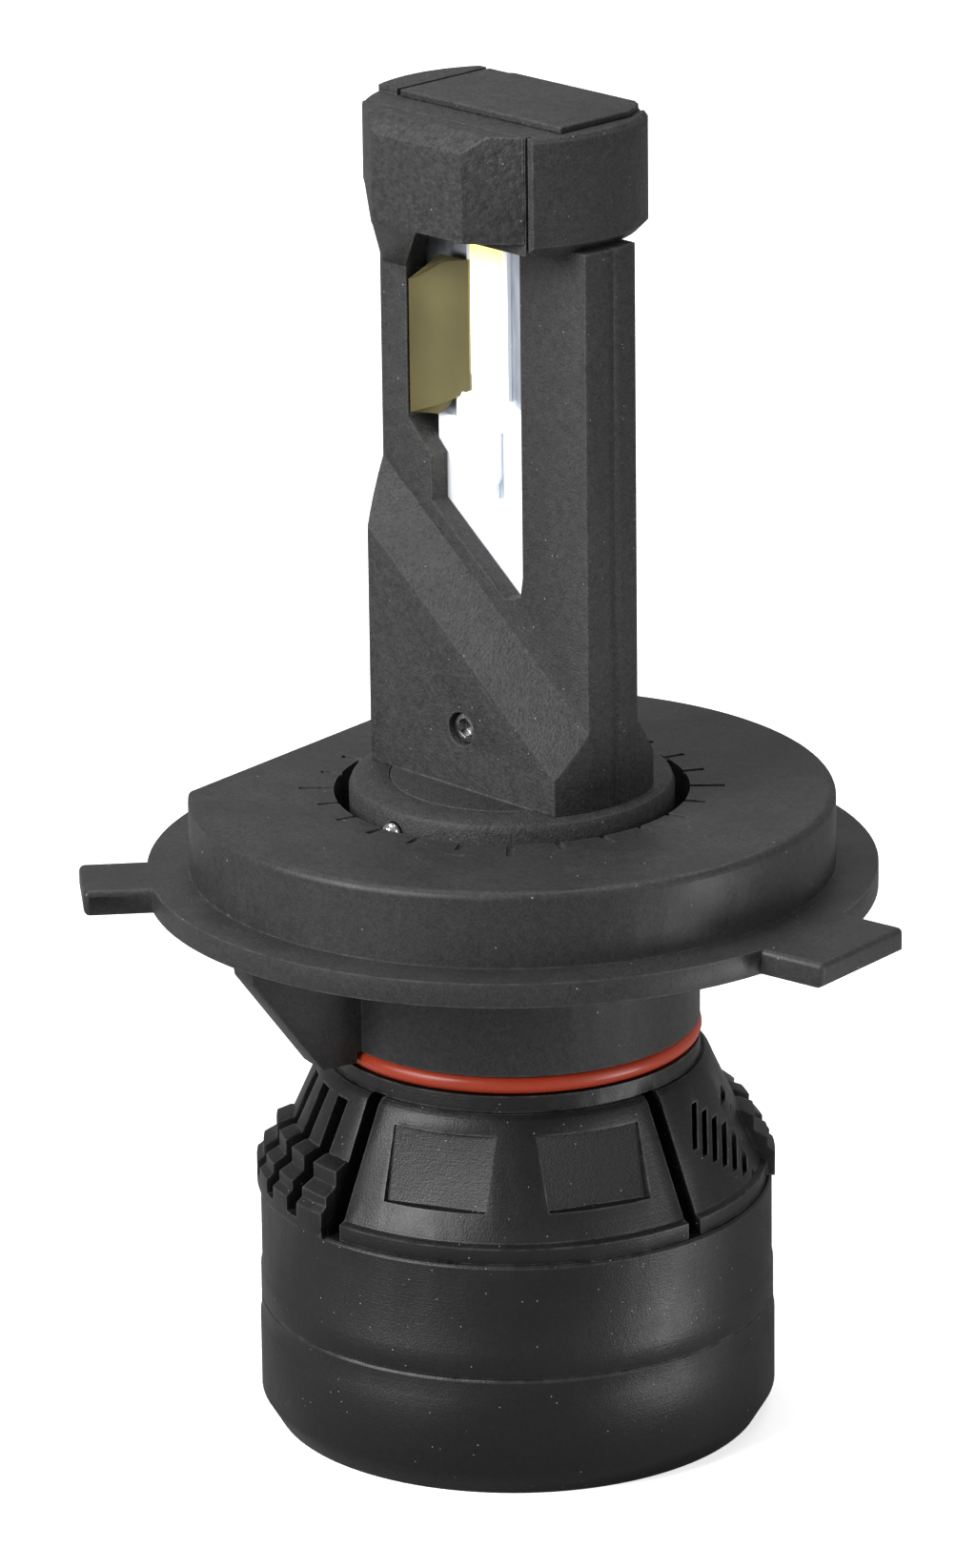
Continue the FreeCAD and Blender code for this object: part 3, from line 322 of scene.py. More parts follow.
def grain_group():
    """Cast or blasted grain. Height = fine noise mixed with coarse noise; Speck = the few brightest cells of
    a cell pattern, only near their centres; Mottle = slow noise."""
    tree, given, give = new_group("Cast grain", [
        ("Fine", 7500.0), ("Coarse", 2200.0), ("Share", 0.35), ("Speck Scale", 6500.0),
        ("Speck Share", 0.99)],
        [("Height", "Float"), ("Speck", "Float"), ("Mottle", "Float")])
    place = put(tree, "TexCoord").outputs["Object"]
    fine = put(tree, "TexNoise", None, Vector=place, Scale=given["Fine"], Detail=2.0,
               Roughness=0.6).outputs[0]
    coarse = put(tree, "TexNoise", None, Vector=place, Scale=given["Coarse"], Detail=2.0).outputs[0]
    give("Height", put(tree, "Mix", None, i0=given["Share"], i2=fine, i3=coarse).outputs[0])
    cells = put(tree, "TexVoronoi", None, Vector=place, Scale=given["Speck Scale"])
    chance = put(tree, "SeparateColor", None, Color=cells.outputs["Color"]).outputs[0]
    rare = sums(tree, "GREATER_THAN", chance, given["Speck Share"])
    give("Speck", sums(tree, "MULTIPLY", rare, spread(tree, cells.outputs["Distance"], 0.22, 0.42, 1.0, 0.0)))
    give("Mottle", put(tree, "TexNoise", None, Vector=place, Scale=220.0, Detail=4.0).outputs[0])
    return tree


def wear_group():
    """Rubbed edges. Edge = how far the normal of a rounded copy of the surface leaves the true normal, broken
    up by noise."""
    tree, given, give = new_group("Rubbed edges", [("Reach", 0.0002), ("Amount", 1.0)], [("Edge", "Float")])
    soft = put(tree, "Bevel", {"samples": 4}, Radius=given["Reach"]).outputs[0]
    true = put(tree, "NewGeometry").outputs["Normal"]
    lean = put(tree, "VectorMath", {"operation": "DOT_PRODUCT"}, i0=soft, i1=true).outputs["Value"]
    place = put(tree, "TexCoord").outputs["Object"]
    patch = put(tree, "TexNoise", None, Vector=place, Scale=900.0, Detail=5.0, Roughness=0.7).outputs[0]
    edge = sums(tree, "MULTIPLY", spread(tree, lean, 0.995, 0.90), spread(tree, patch, 0.35, 0.65))
    give("Edge", sums(tree, "MULTIPLY", edge, given["Amount"]))
    return tree


def dust_group():
    """Settled dust. Dust = how far a face looks up, times patchy noise and a fine fleck."""
    tree, given, give = new_group("Settled dust", [("Amount", 0.1), ("Patch", 300.0)], [("Dust", "Float")])
    up = put(tree, "SeparateXYZ", None, Vector=put(tree, "NewGeometry").outputs["Normal"]).outputs[2]
    place = put(tree, "TexCoord").outputs["Object"]
    patch = put(tree, "TexNoise", None, Vector=place, Scale=given["Patch"], Detail=5.0,
                Roughness=0.65).outputs[0]
    fleck = put(tree, "TexNoise", None, Vector=place, Scale=5200.0, Detail=1.0).outputs[0]
    flecked = sums(tree, "MULTIPLY", spread(tree, patch, 0.4, 0.75), spread(tree, fleck, 0.35, 0.7))
    give("Dust", sums(tree, "MULTIPLY", sums(tree, "MULTIPLY", spread(tree, up, 0.1, 1.0), flecked),
                      given["Amount"]))
    return tree


def turning_group():
    """Fine lathe lines. Lines = noise that changes with height and radius only, so it runs round the axis."""
    tree, given, give = new_group("Lathe lines", [("Pitch", 9000.0)], [("Lines", "Float")])
    parts = put(tree, "SeparateXYZ", None, Vector=put(tree, "TexCoord").outputs["Object"]).outputs
    flat = put(tree, "CombineXYZ", None, X=parts[0], Y=parts[1]).outputs[0]
    reach = put(tree, "VectorMath", {"operation": "LENGTH"}, i0=flat).outputs["Value"]
    where = put(tree, "CombineXYZ", None, X=reach, Z=parts[2]).outputs[0]
    give("Lines", put(tree, "TexNoise", None, Vector=where, Scale=given["Pitch"], Detail=2.0).outputs[0])
    return tree


def placed(tree, group, **values):
    """A shader group placed in a material with its values."""
    made = tree.nodes.new("ShaderNodeGroup")
    made.node_tree = GROUPS[group]
    for key, value in values.items():
        made.inputs[key.replace("_", " ")].default_value = value
    return made.outputs


# ----------------------------------------------------------------------------------------
# Finishes
# ----------------------------------------------------------------------------------------
def new_finish(slot, name, **fixed):
    """A material with its Principled shader, whose fixed sockets are set."""
    made = bpy.data.materials.new(name)
    made.use_nodes = True
    skin = made.node_tree.nodes["Principled BSDF"]
    for key, value in fixed.items():
        socket = skin.inputs[key.replace("_", " ")]
        socket.default_value = (*value, 1) if isinstance(value, tuple) and len(value) == 3 else value
    FINISHES[slot] = made
    return made.node_tree, skin


def bump(tree, skin, height, distance):
    """Raises a finish's surface by a height of 0...1 times a distance."""
    raised = put(tree, "Bump", None, Height=height, Distance=distance, Strength=1.0).outputs[0]
    tree.links.new(raised, skin.inputs["Normal"])


def coated(slot, name, base, light, rough, depth, fine, coarse, share=0.35, speck=0.99, speck_scale=6500.0,
           rub=0.6, dust=0.1, gloss=0.25, lines=0.0):
    """Black coat over metal: colour from grain, specks, rubbed edges and dust; roughness from mottle."""
    tree, skin = new_finish(slot, name, Specular_IOR_Level=gloss)
    grain = placed(tree, "grain", Fine=fine, Coarse=coarse, Share=share, Speck_Share=speck,
                   Speck_Scale=speck_scale)
    wear = placed(tree, "wear", Amount=rub)["Edge"]
    settled = placed(tree, "dust", Amount=dust)["Dust"]
    tone = blended(tree, spread(tree, grain["Height"], 0.35, 0.7), tuple(0.6 * c for c in base),
                   tuple(1.5 * c for c in base))
    tone = blended(tree, grain["Speck"], tone, light)
    tone = blended(tree, settled, tone, (0.30, 0.29, 0.28))
    tone = blended(tree, wear, tone, tuple(0.55 * c for c in light))
    tree.links.new(tone, skin.inputs["Base Color"])
    tree.links.new(spread(tree, grain["Mottle"], 0.3, 0.7, rough - 0.07, rough + 0.09),
                   skin.inputs["Roughness"])
    height = grain["Height"]
    if lines:
        height = sums(tree, "ADD", height, sums(tree, "MULTIPLY", placed(tree, "lathe")["Lines"], lines))
    bump(tree, skin, height, depth)
    return tree, skin


def brushed(slot, name, dark, light, rough, scale, stretch, depth=0.000004):
    """Bare metal whose tone and roughness follow noise stretched along one direction."""
    tree, skin = new_finish(slot, name, Metallic=1.0)
    place = put(tree, "Mapping", None, Vector=put(tree, "TexCoord").outputs["Object"],
                Scale=stretch).outputs[0]
    streak = put(tree, "TexNoise", None, Vector=place, Scale=scale, Detail=4.0, Roughness=0.6).outputs[0]
    stain = put(tree, "TexNoise", None, Vector=place, Scale=scale * 0.08, Detail=3.0).outputs[0]
    tone = blended(tree, spread(tree, streak, 0.3, 0.7), dark, light)
    tone = blended(tree, spread(tree, stain, 0.55, 0.9, 0.0, 0.5), tone, tuple(0.6 * c for c in dark))
    tree.links.new(tone, skin.inputs["Base Color"])
    tree.links.new(spread(tree, streak, 0.3, 0.7, rough, rough + 0.18), skin.inputs["Roughness"])
    bump(tree, skin, streak, depth)


def moulded(slot, name, base, rough, grain_scale=5000.0, depth=0.000004, gloss=0.5, tint=1.35):
    """Moulded or painted plastic, rubber or ceramic: tone and roughness vary with grain and settled dust."""
    tree, skin = new_finish(slot, name, Specular_IOR_Level=gloss)
    grain = placed(tree, "grain", Fine=grain_scale, Coarse=grain_scale * 0.25, Speck_Share=0.997)
    tone = blended(tree, grain["Mottle"], tuple(c / tint for c in base),
                   tuple(min(1.0, c * tint) for c in base))
    tone = blended(tree, placed(tree, "dust", Amount=0.12)["Dust"], tone, (0.4, 0.39, 0.37))
    tree.links.new(tone, skin.inputs["Base Color"])
    tree.links.new(spread(tree, grain["Mottle"], 0.3, 0.7, rough - 0.08, rough + 0.1),
                   skin.inputs["Roughness"])
    bump(tree, skin, grain["Height"], depth)
    return tree, skin


def lit_finish(look):
    """Emitter strips: a cloudy phosphor bead, yellow at the top and white below."""
    tree, skin = new_finish("phosphor", "Lit phosphor", Roughness=0.3, Coat_Weight=0.6, Coat_Roughness=0.12,
                            Emission_Strength=look.glow)
    place = put(tree, "TexCoord").outputs["Object"]
    height = put(tree, "SeparateXYZ", None, Vector=place).outputs[2]
    cloud = put(tree, "TexNoise", None, Vector=place, Scale=700.0, Detail=3.0).outputs[0]
    warm = spread(tree, height, 0.0315, 0.0372)
    glow = blended(tree, warm, (1.0, 1.0, 0.93), (0.42, 0.385, 0.105))
    tree.links.new(glow, skin.inputs["Emission Color"])
    tree.links.new(blended(tree, spread(tree, cloud, 0.3, 0.7), tuple(look.phosphor), (0.95, 0.75, 0.16)),
                   skin.inputs["Base Color"])
    bump(tree, skin, cloud, 0.00002)


GROUPS = {}
FINISHES = {}


class BULB_OT_finishes(bpy.types.Operator):
    """Builds the shader groups and every finish"""
    bl_idname = "bulb.finishes"
    bl_label = "Finishes"

    def execute(self, context):
        look = context.scene.bulb_finish
        GROUPS.update(grain=grain_group(), wear=wear_group(), dust=dust_group(), lathe=turning_group())
        light = tuple(look.cast_light)
        coated("black_cast", "Black sand casting", tuple(look.cast), light, 0.52, 0.0001, 6500, 2300,
               speck=0.9965, speck_scale=7500, rub=0.6, dust=0.05)
        coated("grained_black", "Pebbled black casting", tuple(look.cast), light, 0.48, 0.00018, 3600, 1900,
               share=0.45, speck=0.998, rub=0.9, dust=0.04)
        coated("satin_black", "Satin black coat", tuple(look.satin), light, 0.46, 0.00002, 8000, 2600,
               speck=0.9985, rub=0.45, dust=0.08, gloss=0.34)
        coated("anodised_black", "Blasted black anodising", tuple(look.blasted), (0.3, 0.29, 0.28), 0.42,
               0.00003, 8600, 3200, speck=0.996, speck_scale=9000, rub=0.5, dust=0.03, gloss=0.38, lines=0.35)

        brushed("screw_steel", "Dark zinc steel", (0.10, 0.10, 0.105), (0.42, 0.42, 0.43), 0.22, 4200,
                (1, 1, 1))
        brushed("bright_steel", "Polished steel", (0.62, 0.62, 0.63), (0.86, 0.86, 0.87), 0.06, 3000,
                (1, 1, 1), 0.0000008)
        brushed("plated_copper", "Nickel-plated copper", (0.46, 0.50, 0.57), (0.66, 0.70, 0.78), 0.3, 2500,
                (1, 1, 0.12))
        brushed("bronze", "Oil-filled bronze", (0.30, 0.19, 0.07), (0.55, 0.38, 0.16), 0.34, 6500, (1, 1, 1))
        brushed("lamination", "Stacked steel sheets", (0.20, 0.20, 0.21), (0.42, 0.42, 0.44), 0.34, 3600,
                (0.15, 0.15, 1.0), 0.00002)
        brushed("winding", "Enamelled wire", (0.36, 0.10, 0.03), (0.66, 0.26, 0.09), 0.22, 5200,
                (0.2, 0.2, 1.0), 0.00003)

        tree, skin = moulded("board_white", "White solder mask", (0.9, 0.91, 0.93), 0.36, 2600, 0.000003,
                             tint=1.04)
        # the white boards and wires glow faintly of their own: painted light that keeps them nearly white
        # beside the lit emitters
        skin.inputs["Emission Color"].default_value = (0.9, 0.95, 1.0, 1)
        skin.inputs["Emission Strength"].default_value = 0.32
        moulded("board_green", "Green solder mask", (0.02, 0.115, 0.05), 0.3, 1800, 0.000006)
        moulded("chip_black", "Moulded epoxy", (0.018, 0.018, 0.018), 0.5, 6500, 0.000008)
        moulded("ferrite", "Sintered ferrite", (0.045, 0.045, 0.048), 0.55, 4200, 0.00001)
        moulded("capacitor_sleeve", "Shrink sleeve", (0.03, 0.04, 0.10), 0.24, 2500, 0.000002)
        moulded("fan_plastic", "Glass-filled nylon", (0.016, 0.016, 0.017), 0.42, 4800, 0.000008, 0.35)
        moulded("grommet_rubber", "Grommet rubber", (0.012, 0.012, 0.012), 0.62, 3600, 0.00001, 0.3)
        tree, skin = moulded("seal_silicone", "Orange-red silicone", tuple(look.seal), 0.34, 2600, 0.000004,
                             tint=1.15)
        skin.inputs["Subsurface Weight"].default_value = 0.15
        skin.inputs["Subsurface Radius"].default_value = (0.0006, 0.0001, 0.00005)
        tree, skin = moulded("scoop_olive", "Olive anodised shield", tuple(look.scoop), 0.36, 5200, 0.000008,
                             tint=1.2)
        skin.inputs["Metallic"].default_value = 0.6
        lit_finish(look)
        for node, part in frame["nodes"].items():
            part.material_slots[0].link = "OBJECT"
            part.material_slots[0].material = FINISHES[node_slot(node)]
        return {"FINISHED"}


# ----------------------------------------------------------------------------------------
# Pieces
# ----------------------------------------------------------------------------------------
class BULB_OT_castings(bpy.types.Operator):
    """Rounds the cast and machined parts' edges"""
    bl_idname = "bulb.castings"
    bl_label = "Castings"

    def execute(self, context):
        sizes = context.scene.bulb_sizes
        for node, body, width in (
                ("adapter", "adapter", sizes.cast_ease), ("tower_front_half", "bulb", sizes.cast_ease),
                ("tower_rear_half", "bulb", sizes.cast_ease), ("tower_cap", "bulb", sizes.cast_ease),
                ("front_mask", "bulb", sizes.cast_ease), ("rear_mask", "bulb", sizes.cast_ease),
                ("cap_plate", "bulb", sizes.machined_ease), ("heat_sink", "bulb", sizes.claw_ease),
                ("neck_collar", "bulb", sizes.cast_ease), ("fan_housing", "bulb", sizes.machined_ease),
                ("intake_grille", "bulb", sizes.machined_ease),
                ("led_board_front", "bulb", sizes.lamp_board_ease),
                ("led_board_rear", "bulb", sizes.lamp_board_ease), ("driver_board", "bulb", sizes.board_ease),
                ("fan_board", "bulb", sizes.board_ease), ("fan_coils", "bulb", sizes.coil_ease)):
            eased_copy(node, body, node_slot(node), width, segments=3 if width > 0.00015 else 2)
        return {"FINISHED"}


class BULB_OT_seal(bpy.types.Operator):
    """Makes the silicone ring and its thin parting line"""
    bl_idname = "bulb.seal"
    bl_label = "Seal"

    def execute(self, context):
        low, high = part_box("o_ring")
        section = (high[2] - low[2]) / 2
        middle = (high[2] + low[2]) / 2
        turn = np.linspace(0, 2 * math.pi, 40, endpoint=False)
        # the section is a circle, drawn in by 1.5% except for a thin ridge at its widest place
        ridge = section * (0.985 + 0.015 * np.exp(-(np.sin(turn) / 0.06) ** 2))
        profile = np.stack([high[0] - section + ridge * np.cos(turn), middle + ridge * np.sin(turn)], -1)
        count = 2 * context.scene.bulb_sizes.round_count
        stacked("seal_ring", turned(profile, count), "seal", "seal_silicone", "o_ring", closed=True)
        return {"FINISHED"}


class BULB_OT_emitters(bpy.types.Operator):
    """Makes the emitter strips, the glowing white wires painted as a highlight round their lower ends, and
    the light shields
    """
    bl_idname = "bulb.emitters"
    bl_label = "Emitters"

    def strip(self, node, rise):
        """A bead on a rectangle: outlines drawn in by rise * (1 - cos t) while it climbs by rise * sin t."""
        low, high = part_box(node)
        front = low[1] < 0
        wall, top = (high[1], low[1]) if front else (low[1], high[1])
        half_wide, half_high = (high[0] - low[0]) / 2, (high[2] - low[2]) / 2
        centre = (high[0] + low[0]) / 2, (high[2] + low[2]) / 2
        climb = np.linspace(0, math.pi / 2, 7)
        inset = np.concatenate([[half_wide], [0.0], rise * (1 - np.cos(climb)), [half_wide]])
        height = np.concatenate([[0, 0], 1 - rise / abs(top - wall) * (1 - np.sin(climb)), [1]])
        rings = []
        for drawn, lift in zip(inset, height):
            wide = max(half_wide - drawn, 0.0)
            ring = oblong(wide, max(half_high - drawn, 0.0), min(wide, 0.00025))
            rings.append(np.stack([centre[0] + ring[:, 0], np.full(len(ring), wall + lift * (top - wall)),
                                   centre[1] + ring[:, 1]], -1))
        stacked(node + "_bead", rings, "bulb", "phosphor", node)

    def ridge(self, node, name, radius):
        """A white wire round the lower end of a strip that glows faintly, a painted highlight for the flare
        ring there: down one side, half round, and up the other.
        """
        low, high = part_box(node)
        wall = high[1] if low[1] < 0 else low[1]
        out = wall - math.copysign(radius * 0.6, high[1])
        gap = 0.0004
        half = (high[0] - low[0]) / 2 + gap
        middle = (high[0] + low[0]) / 2
        turn = np.linspace(math.pi, 2 * math.pi, 40)
        foot = low[2] + half * 0.55
        bend = np.stack([middle + half * np.cos(turn), np.full(40, out),
                         foot + half * 0.9 * np.sin(turn)], -1)
        rise = np.linspace(high[2] - 0.0004, foot, 12)[:-1]
        left = np.stack([np.full(11, middle - half), np.full(11, out), rise], -1)
        right = np.stack([np.full(11, middle + half), np.full(11, out), rise[::-1]], -1)
        stacked(name, swept(np.concatenate([left, bend, right]), radius), "bulb", "board_white")

    def shield(self, node, sizes):
        """A concave scoop carried up the tower. Across it, at share s from its outer edge to its foot, its
        depth is face + (reach - face) * (1 - s)^3, and its lower edge climbs where it would meet the emitter
        below."""
        low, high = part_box(node)
        front = low[1] < 0
        back, reach = (high[1], low[1]) if front else (low[1], high[1])
        face = back + math.copysign(sizes.shield_lip, reach)
        share = np.linspace(0, 1, 28)
        across = low[0] + (high[0] - low[0]) * share
        depth = face + (reach - face) * (1 - share) ** 3
        outline = np.concatenate([np.stack([across, depth], -1), [[high[0], back]], [[low[0], back]]])
        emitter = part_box("high_beam_led_front")
        step = spread_out(outline[:, 0], emitter[0][0] - 0.0016, emitter[0][0] - 0.0001) ** 1.4
        foot = low[2] + step * max(emitter[1][2] + 0.0001 - low[2], 0.0)
        # its upper outer corner is cut at 45 degrees, like the window's
        crown = high[2] - np.maximum(low[0] + 0.0016 - outline[:, 0], 0)
        levels = np.linspace(0, 1, 9)
        rings = np.stack([np.stack([outline[:, 0], outline[:, 1], foot + (crown - foot) * level], -1)
                          for level in levels])
        stacked(node + "_scoop", capped(rings), "bulb", "scoop_olive", node, smooth=30)

    def execute(self, context):
        sizes = context.scene.bulb_sizes
        for side in ("front", "rear"):
            self.strip("low_beam_led_" + side, sizes.bead_rise)
            self.strip("high_beam_led_" + side, sizes.bead_rise)
            self.ridge("high_beam_led_" + side, "emitter_ridge_" + side, sizes.ridge)
            self.shield("low_beam_shield_" + side, sizes)
        return {"FINISHED"}


class BULB_OT_screws(bpy.types.Operator):
    """Makes the clamp screws and the cover screws"""
    bl_idname = "bulb.screws"
    bl_label = "Screws"

    def execute(self, context):
        count = 96
        angle = np.arange(count) * 2 * math.pi / count
        # a hexagon's edge is at apothem / cos(angle from the nearest flat)
        flat = (angle + math.pi / 6) % (math.pi / 3) - math.pi / 6
        hexagon = 1 / np.cos(flat)
        low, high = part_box("tower_screws")
        radius = (high[0] - low[0]) / 2
        centre = (high[2] + low[2]) / 2
        sets = []
        for face in (low[1], high[1]):
            inward = -math.copysign(1.0, face)
            key = context.scene.bulb_sizes.hex_key
            stations = [(0.0, 0.0006), (key * 0.9 * hexagon, 0.0006), (key * hexagon, 0.00055),
                        (key * hexagon, 0.00006), (key * 1.1 * hexagon, 0.0), (radius * 0.8, 0.0),
                        (radius * 0.93, 0.00005), (radius, 0.0002), (radius, 0.0013), (0.0, 0.0013)]
            sets.append([np.stack([size * np.cos(angle), np.full(count, face + inward * depth),
                                   centre + size * np.sin(angle)], -1) for size, depth in stations])
        stacked("clamp_screws", sets, "bulb", "screw_steel", "tower_screws")

        # a cross slot: near an arm of half width w, its edge is at w / |sin| or w / |cos| of the angle
        slot = context.scene.bulb_sizes.cross_slot
        arm = np.minimum(slot / np.maximum(np.abs(np.sin(angle + 0.3)), 1e-4),
                         slot / np.maximum(np.abs(np.cos(angle + 0.3)), 1e-4))
        arm = np.minimum(np.maximum(arm, slot * 1.4142), 0.00052)
        low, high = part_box("cover_screws")
        reach = high[0] - 0.0008
        sets = []
        for number in range(3):
            turn = number * 2 * math.pi / 3
            stations = [(0.0, 0.00034), (arm * 0.8, 0.00032), (arm, 0.00003), (arm + 0.00006, 0.0),
                        (0.00068, 0.00003), (0.00078, 0.00012), (0.00079, 0.00045), (0.0005, 0.00046),
                        (0.0005, high[2] - low[2]), (0.0, high[2] - low[2])]
            sets.append([np.stack([reach * math.cos(turn) + size * np.cos(angle),
                                   reach * math.sin(turn) + size * np.sin(angle),
                                   np.full(count, low[2] + depth)], -1) for size, depth in stations])
        stacked("grille_screws", sets, "bulb", "screw_steel", "cover_screws")
        return {"FINISHED"}


class BULB_OT_fan(bpy.types.Operator):
    """Makes the fan wheel with curved blades, and its hub"""
    bl_idname = "bulb.fan"
    bl_label = "Fan"

    def execute(self, context):
        low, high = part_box("fan_rotor")
        magnet_low, magnet_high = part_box("rotor_magnet")
        cup = 0.0072
        wall = magnet_high[0]
        roof = magnet_high[2]
        profile = rounded_profile([(0, high[2]), (cup * 0.45, high[2]), (cup * 0.5, high[2] - 0.00015),
                                   (cup, high[2] - 0.0001), (cup, magnet_low[2]), (wall, magnet_low[2]),
                                   (wall, roof), (0, roof)], 0.0004)
        stacked("fan_hub", turned(profile, context.scene.bulb_sizes.round_count), "fan", "fan_plastic",
                "fan_rotor")

        blades, across, along = 9, 24, 10
        tip = max(high[0], high[1]) - 0.0002
        bottom, top = low[2] + 0.0002, high[2] - 0.0008
        camber = context.scene.bulb_sizes.blade_camber
        thick = context.scene.bulb_sizes.blade_thick
        # the section goes out along the chord on one side and back on the other: at share c of the chord it
        # leaves the chord by camber * sin(pi c) plus or minus a thickness that fades to the two ends
        chord = np.concatenate([np.linspace(0, 1, across), np.linspace(1, 0, across)[1:-1]])
        side = np.concatenate([np.ones(across), -np.ones(across - 2)])
        body = thick * np.sqrt(np.clip(1 - (2 * chord - 1) ** 4, 0.05, 1))
        sweep = 0.0020
        swing = -sweep + 2 * sweep * chord
        lift = bottom + (top - bottom) * chord
        leave = camber * np.sin(math.pi * chord) + side * body
        slope = math.atan2(top - bottom, 2 * sweep)
        swing, lift = swing - leave * math.sin(slope), lift + leave * math.cos(slope)
        lift = np.clip(lift, low[2], high[2])
        reach = np.linspace(cup - 0.0004, tip, along)
        sets = []
        for number in range(blades):
            start = number * 2 * math.pi / blades + math.pi / 2
            turn = start + swing[None, :] / reach[:, None]
            rings = np.stack([reach[:, None] * np.cos(turn), reach[:, None] * np.sin(turn),
                              np.broadcast_to(lift, turn.shape)], -1)
            sets.append(capped(rings))
        stacked("fan_blades", sets, "fan", "fan_plastic")
        return {"FINISHED"}


class BULB_OT_driver(bpy.types.Operator):
    """Makes the driver's choke, capacitors and chip, and the cable's grommet"""
    bl_idname = "bulb.driver"
    bl_label = "Driver"

    def execute(self, context):
        count = 48
        low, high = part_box("driver_inductor")
        radius, centre = (high[0] - low[0]) / 2, ((high[0] + low[0]) / 2, (high[1] + low[1]) / 2)
        tall = high[2] - low[2]
        body = [(0, low[2]), (radius, low[2]), (radius, low[2] + 0.0005), (radius * 0.72, low[2] + 0.0005),
                (radius * 0.72, high[2] - 0.0005), (radius, high[2] - 0.0005), (radius, high[2]),
                (0, high[2])]
        stacked("choke_core", turned(rounded_profile(body, 0.00012), count, centre), "bulb", "ferrite",
                "driver_inductor")
        # turns of wire side by side: the radius follows |sin| along the height
        up = np.linspace(0, 1, 61)
        wound = radius * 0.78 + 0.00016 * np.abs(np.sin(up * 6 * math.pi))
        coil = np.stack([wound, low[2] + 0.00052 + up * (tall - 0.00104)], -1)
        coil = np.concatenate([[[radius * 0.6, coil[0, 1]]], coil, [[radius * 0.6, coil[-1, 1]]]])
        stacked("choke_winding", turned(coil, count, centre), "bulb", "winding", closed=True)

        low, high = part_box("driver_capacitors")
        radius = (high[0] - low[0]) / 2
        tall = high[2] - low[2]
        can = rounded_profile([(0, 0), (radius * 0.92, 0), (radius, 0.0002), (radius, tall * 0.16),
                               (radius * 0.93, tall * 0.2), (radius, tall * 0.24), (radius, tall - 0.0002),
                               (radius * 0.85, tall), (radius * 0.8, tall - 0.00012), (0, tall - 0.00012)],
                              0.00012)
        across = (low[0] + high[0]) / 2
        sets = [turned(can + [0, low[2]], count, (across, side))
                for side in (low[1] + radius, high[1] - radius)]
        stacked("driver_cans", sets, "bulb", "capacitor_sleeve", "driver_capacitors")

        low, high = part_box("driver_chip")
        centre = (low + high) / 2
        half = (high - low) / 2
        levels = [(0, 0.0, 0.0), (1, 0.0, 0.08), (1, 0.5, 0.0), (1, 1.0, 0.06), (0, 1.0, 0.06)]
        rings = []
        for size, level, drawn in levels:
            ring = oblong(size * half[0] * (1 - drawn) * 0.86, size * half[1] * (1 - drawn) * 0.86,
                          size * 0.00008, 4)
            lift = low[2] + 0.0001 + level * (high[2] - low[2] - 0.0001)
            rings.append(np.stack([centre[0] + ring[:, 0], centre[1] + ring[:, 1],
                                   np.full(len(ring), lift)], -1))
        stacked("chip_body", rings, "bulb", "chip_black", "driver_chip")
        # a leg's side view is a strip that leaves the body, drops to the board and turns flat
        leg = np.array([(0.84, 0.5), (0.92, 0.5), (0.96, 0.1), (1.0, 0.1)]) * [half[0], high[2] - low[2]]
        sets = []
        for side in (-1, 1):
            for place in np.linspace(-0.7, 0.7, 4) * half[1]:
                rings = []
                for out, lift in leg:
                    wide = 0.0002
                    thin = 0.00004
                    rings.append([(centre[0] + side * out, centre[1] + place + dy, low[2] + lift + dz)
                                  for dy, dz in ((-wide, -thin), (wide, -thin), (wide, thin), (-wide, thin))])
                sets.append(capped(np.array(rings)))
        stacked("chip_legs", sets, "bulb", "bright_steel")

        low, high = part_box("cable_grommet")
        mount = [m for m in frame["record"]["mounts"] if m["name"] == "cable_inlet"][0]
        out = Vector(mount["axis"]).normalized()
        side = Vector((0, 0, 1)).cross(out)
        middle = Vector(mount["pos_m"])
        bore = mount["dims"]["r_mm"] / 1000
        half = mount["dims"]["length_mm"] / 2000
        flange = (high[2] - low[2]) / 2
        seat = flange - 0.00045
        profile = [(bore, -half), (flange, -half), (flange, -half + 0.0005), (seat, -half + 0.00055),
                   (seat, half - 0.001), (flange, half - 0.00095), (flange, half - 0.0003),
                   (flange - 0.0003, half), (bore + 0.0003, half - 0.00008), (bore, half - 0.0003),
                   (bore, -half)]
        profile = rounded_profile(profile, 0.00012)[:-1]
        angle = np.arange(96) * 2 * math.pi / 96
        rings = (np.array(middle) + profile[:, 1, None, None] * np.array(out)
                 + profile[:, 0, None, None] * (np.cos(angle)[None, :, None] * np.array(side)
                                                + np.sin(angle)[None, :, None] * np.array((0, 0, 1))))
        stacked("inlet_grommet", rings, "bulb", "grommet_rubber", "cable_grommet", closed=True)
        return {"FINISHED"}


# each lamp's name, turn from the camera's side and rise in degrees, distance, size, and the height that it
# aims at
LAMPS = (("Key", -58, 34, 0.7, (0.35, 0.5), 0.01), ("Fill", 62, 20, 0.8, (0.3, 0.6), 0.01),
         ("Crown", 180, 72, 0.9, (0.7, 0.7), 0.01), ("Side", 62, -14, 0.085, (0.03, 0.022), -0.024))
CAMERA_TURN = 44


